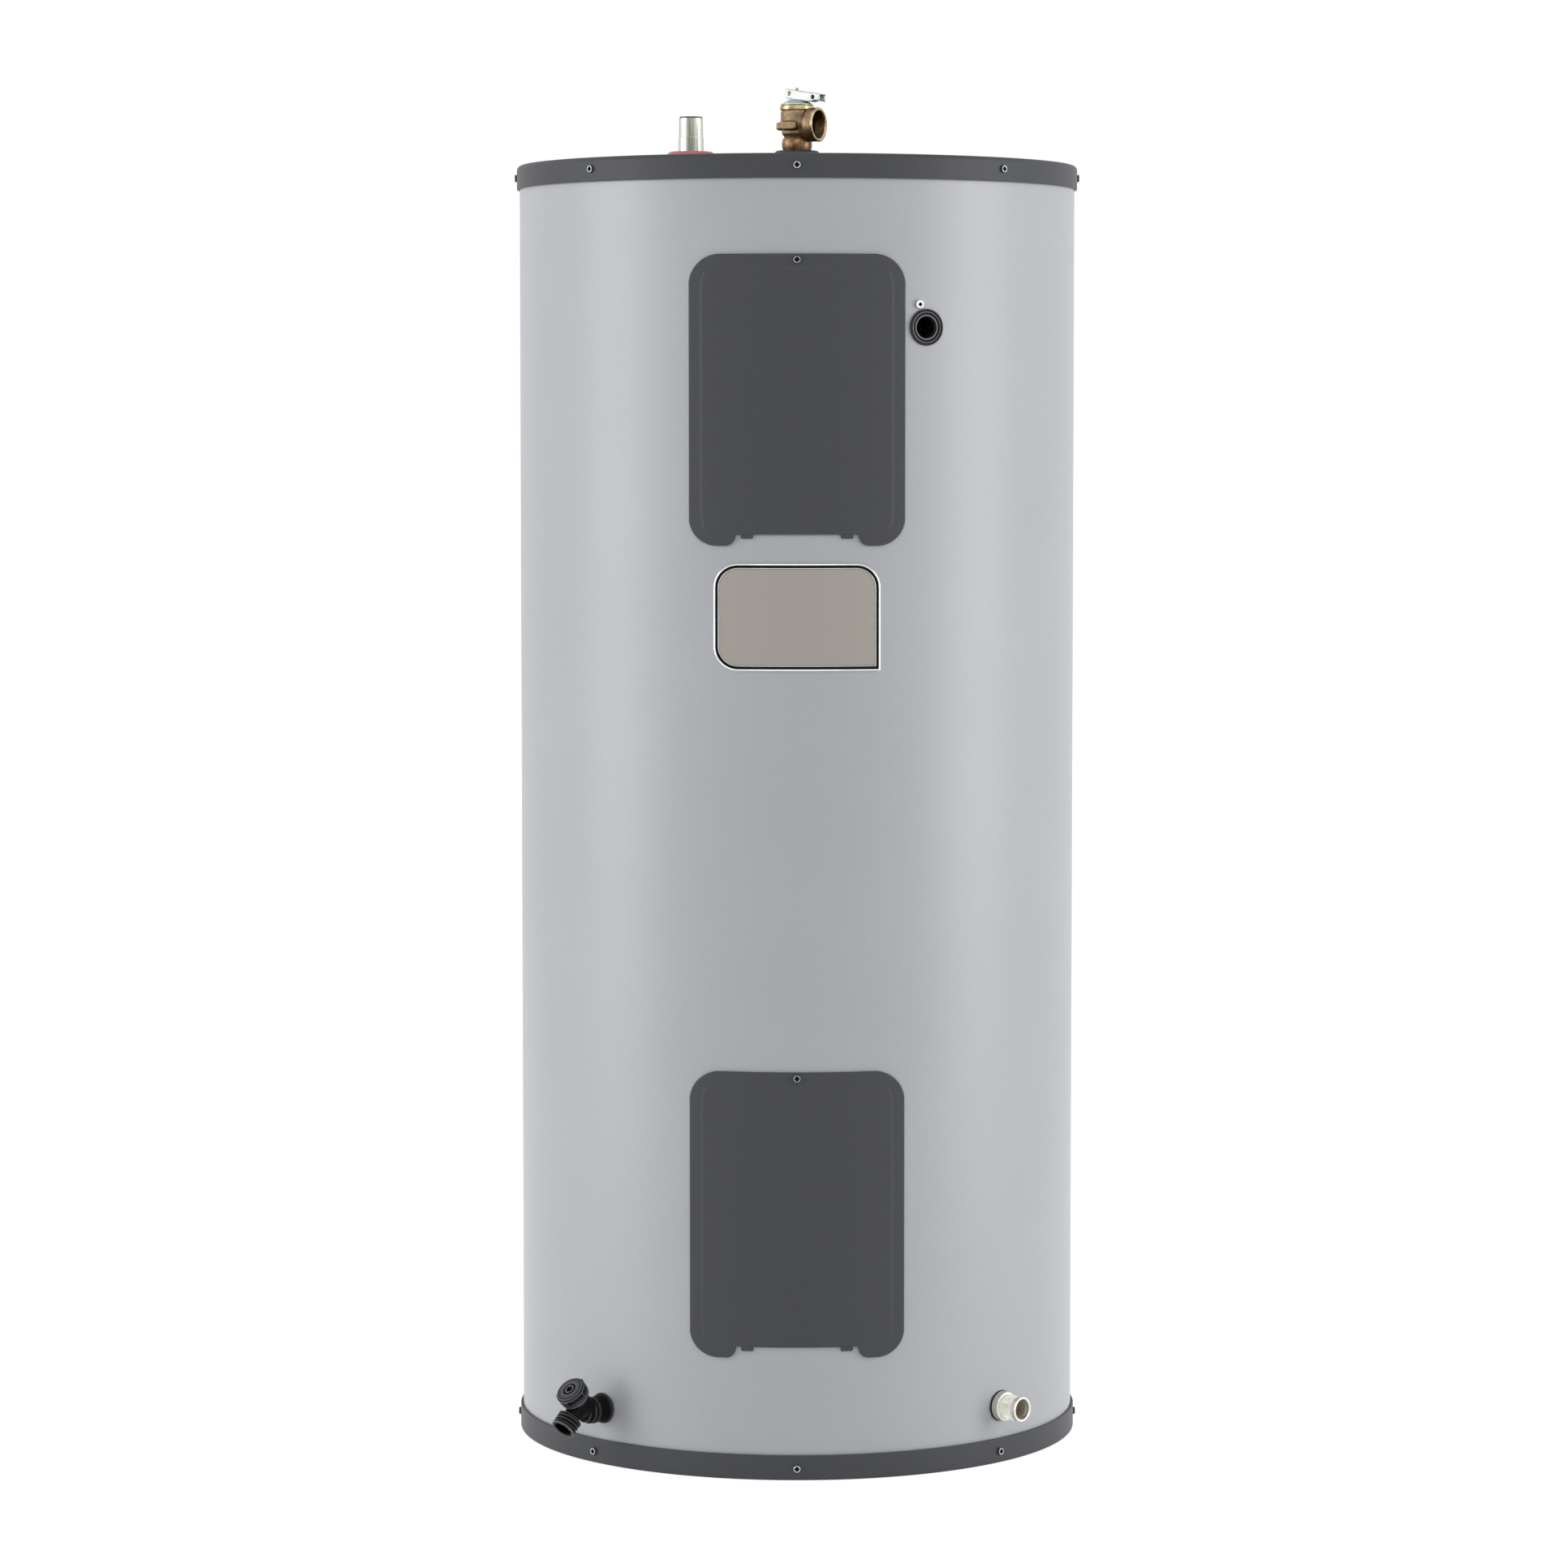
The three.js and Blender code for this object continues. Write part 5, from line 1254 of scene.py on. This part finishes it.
def lever(where):
    """A stamped channel: flat sheet lines folded down at both sides, with a slot and two holes.

    Across, the developed width w runs over a flat top, round a bend and down each side."""
    tail, nose, half, deep, bend = -3.9, 36.4, 6.8, 4.7, 1.6
    slot_start, slot_end, slot_half = 2.2, 14.5, 2.8
    pin_hole, ring_hole = 1.9, 2.2
    flat = half - bend
    arc = flat + bend * np.pi / 2
    side = arc + deep - bend
    spots = [(0.0, side, pin_hole), (28.6, side, ring_hole)]
    u = hole_lines(np.linspace(tail, nose, 30), [(p, r) for p, _, r in spots])
    u = with_lines(u, (slot_end,), 0.5)
    w = hole_lines(np.concatenate([np.linspace(0, flat, 6), np.linspace(flat, arc, 6)[1:],
                                   np.linspace(arc, side + deep, 10)[1:]]),
                   [(side, ring_hole)])
    w = with_lines(w, (slot_half,), 0.4)
    w = np.concatenate([-w[:0:-1], w])
    uu, ww = np.meshgrid(u, np.abs(w), indexing="ij")
    mid_u, mid_w = (u[1:] + u[:-1])[:, None] / 2, np.abs(w[1:] + w[:-1])[None] / 2
    gone = (mid_u > slot_start) & (mid_u < slot_end) & (mid_w < slot_half)
    for centre, height, radius in spots:
        gone |= (np.abs(mid_u - centre) < radius) & (np.abs(mid_w - height) < ring_hole)
    uu, ww = round_holes(uu, ww, spots)
    low = deep - 3.5 * smoothstep(24, nose, uu) - 2.0 * smoothstep(-2.5, tail, uu)
    below = ww - side
    squeeze = np.where(below > 2.9, 2.9 + (below - 2.9) * (low - 2.9) / (deep - 2.9), below)
    angle = np.clip((ww - flat) / bend, 0, np.pi / 2)
    across = np.minimum(ww, flat) + bend * np.sin(angle)
    height = deep - bend + bend * np.cos(angle) - np.maximum(ww - arc, 0)
    height = np.where(ww > side, -squeeze, height)
    grid = np.stack([uu, across * np.sign(w)[None] + 0 * uu, height], -1)
    return Shape().patch(placed(grid, where), keep=~gone.ravel())


def ear(where):
    """A plate that holds the lever's pin: a circle, stretched below the pin and squared there
    by pushing x out to the radius."""
    radius, stretch, squareness = 3.3, 2.9, 8
    t = np.linspace(0, 2 * np.pi, 48, endpoint=False)
    x, z = radius * np.cos(t), radius * np.sin(t)
    flank = np.sign(x) * np.minimum(np.abs(x) * squareness, radius)
    x, z = np.where(z < 0, flank, x), np.where(z < 0, z * stretch, z)
    share, level = np.array([(0, -1.0), (0.93, -1.05), (1, -0.85), (1, 0.85), (0.93, 1.05),
                             (0, 1.0)]).T
    grid = np.stack([x[:, None] * share, z[:, None] * share,
                     np.broadcast_to(level, (len(t), len(level)))], -1)
    return placed(grid, where)


def coil(where, radius, wire, low, high, turns):
    """A coil spring: a circle of wire up a helix whose first and last half turn lie flat."""
    a = np.linspace(0, 2 * np.pi * turns, 36 * turns + 1)
    thick = np.concatenate([[0], np.full(len(a), wire), [0]])
    a = np.concatenate([a[:1], a, a[-1:]])
    rise = low + wire + (high - low - 2 * wire) * np.clip((a / (2 * np.pi) - 0.5) / (turns - 1),
                                                           0, 1)
    round_wire = np.linspace(0, 2 * np.pi, 14, endpoint=False)[:, None]
    reach = radius + thick * np.cos(round_wire)
    grid = polar(a, reach, rise + thick * np.sin(round_wire))
    return Shape().patch(placed(grid, where), ring_u=True)


class HEATER_OT_relief_valve(bpy.types.Operator):
    """Temperature and pressure relief valve: bronze body, bonnet, lever, pin and stem"""

    bl_idname = "heater.relief_valve"
    bl_label = "Relief valve"

    def execute(self, context):
        where = relief_frame()
        ring = [(PIPE_HOLE, FIT), (24, FIT), (24, 7.5), (21.5, 9.7), (PIPE_HOLE, 9.7),
                (PIPE_HOLE, FIT)]
        shown(Shape().lathed(ring, where, 96, 1.2, 5), "relief_valve_plinth", "dark_trim",
              "dark_trim", "relief_escutcheon")

        # heights over the deck
        collar, barrel, lugs, outlet, flange, crown = 10.0, 25.3, 35.6, 36.7, 52.6, 59.2
        axis = stood_at(where, (0, 0, outlet), where[:3, 0])
        body = [(0, barrel - 3), (13.2, barrel - 3), (13.4, barrel - 0.5), (15.6, barrel + 1.2),
                (16.2, barrel + 3.5), (15.8, barrel + 6), (17.3, barrel + 8.5),
                (17.2, flange - 2), (16.4, flange - 0.8), (16.4, flange + 1), (0, flange + 1)]
        shape = Shape().lathed(body, where, 64, 1, 4)
        arm = [(0, 0), (14.2, 0), (15.2, 12), (17.9, 17), (17.9, 25.2), (0, 25.2)]
        shape.lathed(arm, axis, 64, 1.5, 4)
        for turn in (90, 180, 270):
            a = math.radians(turn)
            out = where[:3, 0] * math.cos(a) + where[:3, 1] * math.sin(a)
            boss = stood_at(where, (0, 0, lugs), out)
            lug = powered(boss, [(0, 5, 0), (9.4, 5, 0), (9.4, 5, 18.9), (8.8, 5, 20.6),
                                 (0, 5, 20.6)])
            # a lug is pressed flat, to 0.46 of its width
            lug[..., 2] = boss[2, 3] + (lug[..., 2] - boss[2, 3]) * 0.46
            shape.patch(lug, ring_u=True)
        mouth_drill = Shape().turned([(0, 9), (14.3, 13), (14.3, 30), (0, 30)], axis, 64)
        casting = shown(shape, "relief_valve_casting", "bronze", "bronze", "relief_valve_body")
        fused(casting, mouth_drill, 0.8, 4)

        neck = [(0, -30), (13.3, -30), (13.3, collar), (14.9, collar), (15.9, collar + 4),
                (16.0, barrel - 6.5), (15.2, barrel - 3.2), (13.4, barrel - 1.6),
                (0, barrel - 1.6)]
        shown(Shape().lathed(neck, where, 96, 1.6, 5), "relief_valve_collar", "copper", "bronze")
        lip = [(16.0, flange), (18.0, flange), (18.0, crown - 2.2), (16.4, crown - 1.7),
               (13.1, crown - 1.7), (13.1, flange), (16.0, flange)]
        shape = Shape().lathed(lip, where, 96, 0.6, 4)
        mouth = [(17.0, 24.9), (18.15, 25.1), (18.15, 26.3), (17.4, 26.95), (15.2, 26.95),
                 (14.4, 26.0), (14.2, 25.4)]
        shown(shape.lathed(mouth, axis, 96, 0.4), "relief_valve_rims", "bright_bronze", "bronze")
        # the bore is finished darker than the body: painted shade
        bore = threaded(14.2, 13.9, 13.0, 25.4, length("pipe_pitch"), 0.7)
        shape = Shape().patch(placed(bore, axis), ring_u=True)
        shape.turned([(13.9, 13.0), (9.0, 12.2), (8.9, 4.0), (0, 3.0)], axis, 64)
        shown(shape, "relief_valve_bore", "dull_bore", "bronze")

        dome = [(0, crown - 7), (12.6, crown - 7), (12.6, crown - 1.5), (17.0, crown - 1.5),
                (17.1, crown - 0.6), (14.6, crown + 0.9), (11.5, crown + 2.6), (8.5, crown + 4.2),
                (6.2, crown + 5.2), (5, crown + 5.8), (4, crown + 6.5), (2.5, crown + 6.6),
                (0, crown + 6.6)]
        shape = Shape().lathed(dome, where, 72, 1.2, 4)
        pin_x, pin_z = -5.7, crown + 10.6
        for side in (-4.05, 4.05):
            shape.patch(ear(stood_at(where, (pin_x, side, pin_z), where[:3, 1], where[:3, 2])),
                        ring_u=True)
        shown(shape, "relief_valve_dome", "zinc", "zinc", "relief_valve_bonnet")

        slope = math.radians(9)
        along = where[:3, 0] * math.cos(slope) - where[:3, 2] * math.sin(slope)
        up = where[:3, 2] * math.cos(slope) + where[:3, 0] * math.sin(slope)
        pin = stood_at(where, (pin_x, 0, pin_z), where[:3, 1], where[:3, 2])
        swing = axes(pin[:3, 3], along, where[:3, 1], up)
        made = shown(lever(swing), "relief_valve_lever", "zinc", "zinc", "relief_lever",
                     body="relief_lever")
        thicken(made, 1.2)
        rivet = [(0, -6.6), (1.1, -6.5), (1.4, -6.1), (1.5, -5.4), (1.5, 5.4), (1.4, 6.1),
                 (1.1, 6.5), (0, 6.6)]
        shown(Shape().turned(rivet, pin, 32), "relief_lever_rivet", "brass", "brass",
              "relief_lever_pin", body="relief_lever")

        foot, top = (corner[2] - DECK for corner in box("relief_stem"))
        coil_foot, coil_head = (corner[2] - DECK for corner in box("relief_spring"))
        seat = coil_foot - 4.3      # the collar that the spring rests on, 4 thick
        stem = [(0, foot), (3.6, foot), (4, foot + 0.6), (4, seat), (11.5, seat), (11.5, seat + 4),
                (2, seat + 4), (2, top - 4.6), (1.3, top - 3.6), (1.3, top - 2.4),
                (0.8, top - 1.9), (0, top - 1.9)]
        shown(Shape().lathed(stem, where, 32, 0.3), "relief_valve_stem", "copper", "brass",
              "relief_stem", body="relief_stem")
        made = shown(coil(where, 8, 1.1, coil_foot, coil_head, 5), "relief_valve_spring",
                     "spring_steel", "spring_steel", "relief_spring")
        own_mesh(made)
        return {"FINISHED"}


def drain_frames():
    """The drain valve's inlet, stem and spout frames, the last two at the valve's centre."""
    turning = joint("drain_handle_turn")
    centre = np.array(turning["pos_m"]) / MM
    stem = np.array(turning["axis"])
    azimuth = azimuth_of("drain_valve_collar")
    inlet = radial(azimuth, height_of("drain_valve_collar"))
    spout = np.cross(stem, inlet[:3, 0])
    spout *= np.sign(-spout[2])
    return inlet, aimed(centre, stem, inlet[:3, 1]), aimed(centre, spout, inlet[:3, 1])


def knob(where):
    """The drain valve's knob: rings of a profile whose rim stands out in five pointed lugs."""
    t = np.linspace(0, 2 * np.pi, 240, endpoint=False)[:, None]
    tooth = np.clip(1 - np.abs(np.mod(t * 5 / (2 * np.pi) + 0.5, 1) - 0.5) * 12, 0, 1) ** 0.7
    star = 0.5 + 0.5 * np.cos(6 * t)
    rows = np.array([  # radius, how far the lugs stand, how far the star bites, height
        (0, 0, 0, -2.0), (3.0, 0, 0, -2.0), (3.0, 0, 0, 19.9), (3.4, 0, 0, 20.5),
        (13.2, 0, 0, 20.5), (13.5, 0, 0, 20.2), (13.5, 0, 0, 9.6), (14.0, 0, 0, 9.5),
        (15.6, 0, 0, 9.5), (15.9, 0, 0, 9.8), (15.9, 0, 0, 11.6), (15.5, 0, 0, 11.8),
        (15.5, 0, 0, 12.3), (16.2, 0, 0, 12.6), (16.5, 0.2, 0, 13.0), (16.6, 0.5, 0, 16.4),
        (16.6, 0.9, 0, 19.6), (16.7, 1.0, 0, 20.6), (16.7, 1.0, 0, 21.1), (16.1, 0.7, 0, 21.6),
        (15.5, 0.3, 0, 22.5), (14.6, 0, 0, 23.3), (13.6, 0, 0, 23.7), (13.3, 0, 0, 23.4),
        (12.9, 0, 0, 23.4), (12.6, 0, 0, 23.8), (10.0, 0, 0, 24.0), (7.6, 0, 0, 23.9),
        (7.1, 0, 0, 22.8), (6.7, 0, 0, 22.2), (6.0, 0, 0, 22.2), (5.6, 0, 0, 22.8),
        (5.3, 0, 0, 24.2), (4.9, 0, 0, 24.4), (4.3, 0, 0.5, 24.3), (3.9, 0, 1.3, 23.6),
        (3.7, 0, 1.4, 21.2), (0, 0, 0, 21.0)])[None]
    looks = np.zeros(rows.shape[1] - 1, int)
    looks[[8, 13, 18, 32]] = 1      # bright lines on these edges are painted highlights
    reach = rows[..., 0] + rows[..., 1] * tooth - rows[..., 2] * star
    return Shape().patch(placed(polar(t, reach, rows[..., 3]), where), ring_u=True, look=looks)


class HEATER_OT_drain_valve(bpy.types.Operator):
    """Moulded drain valve: body, threaded spout, wall ring and knob"""

    bl_idname = "heater.drain_valve"
    bl_label = "Drain valve"

    def execute(self, context):
        inlet, stem, spout = drain_frames()
        seat = JACKET_R + FIT
        ring = [(9.6, seat), (16.2, seat), (16.2, seat + 2), (9.6, seat + 2), (9.6, seat)]
        shown(Shape().lathed(ring, inlet, 96, 0.6, 4), "drain_valve_ring", "black_plastic",
              "black_plastic", "drain_valve_collar")

        neck = np.array([(0, -40), (9.4, -40), (9.4, 0), (15.4, 2.2), (15.2, 3.0), (13.0, 13.4),
                         (13.0, 14.6), (14.2, 15.2), (14.2, 18.4), (12.4, 19.4), (12.4, 20.6),
                         (13.6, 21.4), (13.6, 23.6), (11.6, 25), (11.6, 30), (0, 30)])
        shape = Shape().lathed(neck + (0, JACKET_R), inlet, 64, 0.6, 4)
        bowl = [(0, -12.5), (8.6, -12.5), (12, -9.2), (12, 5.6), (11.0, 7), (9.5, 7), (9.5, 12),
                (3.4, 12), (3.4, 8), (0, 8)]
        shape.lathed(bowl, stem, 64, 1.0, 4)
        tube = [(0, 0), (9, 0), (9, 19), (12.6, 21.5), (12.6, 24), (0, 24)]
        shape.lathed(tube, spout, 64, 1.2, 4)
        spout_drill = Shape().turned([(0, 11.6), (6.8, 12), (6.8, 20), (9.6, 21.3), (9.6, 30),
                                      (0, 30)], spout, 64)
        casting = shown(shape, "drain_valve_moulding", "black_plastic", "black_plastic",
                        "drain_valve_body")
        fused(casting, spout_drill, 0.75, 3)

        face, crest = 35.5, 13.4        # the spout's end, and its hose thread's outer radius
        thread = threaded(crest, crest, 21.0, face - 1.6, 4.2, 1.6, per_turn=12)
        shape = Shape().patch(placed(thread, spout), ring_u=True)
        shape.turned([(12.0, 20.4), (crest, 21.0)], spout, 96)
        # the spout end's edges take look 1, a painted highlight
        shape.turned([(crest, face - 1.6), (crest, face - 0.8), (13.2, face - 0.35),
                      (12.8, face - 0.1), (12.3, face)], spout, 96, [0, 1, 1, 1])
        lip = [(12.3, face), (10.2, face), (9.6, face - 0.5), (9.5, face - 2), (9.5, face - 14),
               (6, face - 14.5), (6, 12.8), (0, 12.4)]
        shown(shape.lathed(lip, spout, 96, 0.4), "drain_valve_spout",
              "black_plastic worn_plastic", "black_plastic")
        shown(knob(stem), "drain_valve_knob", "black_plastic worn_plastic", "black_plastic",
              "drain_valve_handle", body="drain_handle")
        return {"FINISHED"}


class HEATER_OT_inside(bpy.types.Operator):
    """Finishes of the parts behind the jacket and of every node that shows as it is"""

    bl_idname = "heater.inside"
    bl_label = "Inside parts"

    def execute(self, context):
        finish_of()
        for made in frame["nodes"].values():
            for slot in made.material_slots:
                key = slot.material.name.split(".")[0]
                if key in FINISHES:
                    slot.material = FINISHES[key]
        return {"FINISHED"}


# ---------------------------------------------------------------- stage


def area_light(name, place, target, width, height, power):
    """A soft rectangular lamp at a place in metres, facing a target, with its power in watts."""
    data = bpy.data.lights.new(name, "AREA")
    data.shape = "RECTANGLE"
    data.size, data.size_y, data.energy = width, height, power
    made = bpy.data.objects.new(name, data)
    made.matrix_world = Matrix(aimed(place, np.subtract(place, target)).tolist())
    bpy.context.scene.collection.objects.link(made)


def seen_rays(tree):
    """1 for the rays that show a background, straight, mirrored or through glass, else 0."""
    path = add_node(tree, "ShaderNodeLightPath")
    straight = add_node(tree, "ShaderNodeMath", {"operation": "ADD", "use_clamp": True},
                        {0: path.outputs["Is Camera Ray"], 1: path.outputs["Is Glossy Ray"]})
    through = add_node(tree, "ShaderNodeMath", {"operation": "ADD", "use_clamp": True},
                       {0: straight.outputs[0], 1: path.outputs["Is Transmission Ray"]})
    return through.outputs[0]


class HEATER_OT_stage(bpy.types.Operator):
    """White floor, soft studio light and the camera"""

    bl_idname = "heater.stage"
    bl_label = "Stage"

    def execute(self, context):
        scene = context.scene
        scene.view_settings.view_transform = "Standard"
        rings = [(reach / MM, FLOOR) for reach in (0.0, 0.4, 1, 3, 9, 16)]
        # the floor's own light where it is seen, and the room's where it only lights
        floor_glow, room_light = 0.64, 0.42
        floor = bpy.data.materials.new("white studio floor")
        floor.use_nodes = True
        tree = floor.node_tree
        shader = tree.nodes["Principled BSDF"]
        shader.inputs["Roughness"].default_value = 0.9
        shader.inputs["Base Color"].default_value = linear("#F4F4F4")
        glow = add_node(tree, "ShaderNodeMath", {"operation": "MULTIPLY"},
                        {0: seen_rays(tree), 1: floor_glow}).outputs[0]
        shader.inputs["Emission Color"].default_value = (1, 1, 1, 1)
        tree.links.new(glow, shader.inputs["Emission Strength"])
        made = Shape().turned(rings, np.eye(4), 96).piece("studio_floor", [floor], "heater")

        world = bpy.data.worlds.new("white studio")
        scene.world = world
        world.use_nodes = True
        tree = world.node_tree
        back = tree.nodes["Background"]
        level = add_node(tree, "ShaderNodeMapRange", None,
                         {"Value": seen_rays(tree), "To Min": room_light}).outputs[0]
        back.inputs["Color"].default_value = (1, 1, 1, 1)
        tree.links.new(level, back.inputs["Strength"])

        # a softbox at each side gives the drum its two broad pale bands, the low one in front
        # lifts the panels; places in metres
        middle = (0, 0, 0.75)
        area_light("left_softbox", (-3.2, -0.9, 1.0), middle, 1.6, 3.2, 62)
        area_light("right_softbox", (3.2, -0.9, 1.0), middle, 1.6, 3.2, 64)
        area_light("front_softbox", (0, -3.4, 3.0), (0, -0.8, 0.1), 2.4, 1.6, 20)

        # from 5.4 m, a little above the heater's middle and looking slightly down
        data = bpy.data.cameras.new("front_camera")
        data.sensor_width = 36
        data.lens = 114.02
        data.shift_x, data.shift_y = -0.0083, -0.04
        data.clip_end = 60
        made = bpy.data.objects.new("front_camera", data)
        made.location = (0, -5.4418, 1.1159)
        made.rotation_euler = (math.radians(90 - 3.563), 0, 0)
        scene.collection.objects.link(made)
        scene.camera = made
        return {"FINISHED"}


class HEATER_PT_panel(bpy.types.Panel):
    """Lists the heater's sizes, colours and steps"""

    bl_label = "Tank water heater"
    bl_space_type = "VIEW_3D"
    bl_region_type = "UI"
    bl_category = "Heater"

    def draw(self, context):
        for group in (context.scene.heater_sizes, context.scene.heater_colours):
            for key in group.__annotations__:
                self.layout.prop(group, key)
        for step in STEPS:
            self.layout.operator(step.bl_idname)


STEPS = (HEATER_OT_stage, HEATER_OT_drum, HEATER_OT_rims, HEATER_OT_rim_screws, HEATER_OT_panels,
         HEATER_OT_badge, HEATER_OT_grommet, HEATER_OT_nipples, HEATER_OT_anode_cap,
         HEATER_OT_relief_valve, HEATER_OT_drain_valve, HEATER_OT_inside)
CLASSES = (HEATER_PG_sizes, HEATER_PG_colours, *STEPS, HEATER_PT_panel)


def register():
    for cls in CLASSES:
        bpy.utils.register_class(cls)
    bpy.types.Scene.heater_sizes = bpy.props.PointerProperty(type=HEATER_PG_sizes)
    bpy.types.Scene.heater_colours = bpy.props.PointerProperty(type=HEATER_PG_colours)


def unregister():
    del bpy.types.Scene.heater_colours
    del bpy.types.Scene.heater_sizes
    for cls in reversed(CLASSES):
        bpy.utils.unregister_class(cls)


def main():
    register()
    for step in STEPS:
        getattr(bpy.ops.heater, step.bl_idname.split(".")[1])()


if __name__ == "__main__":
    main()
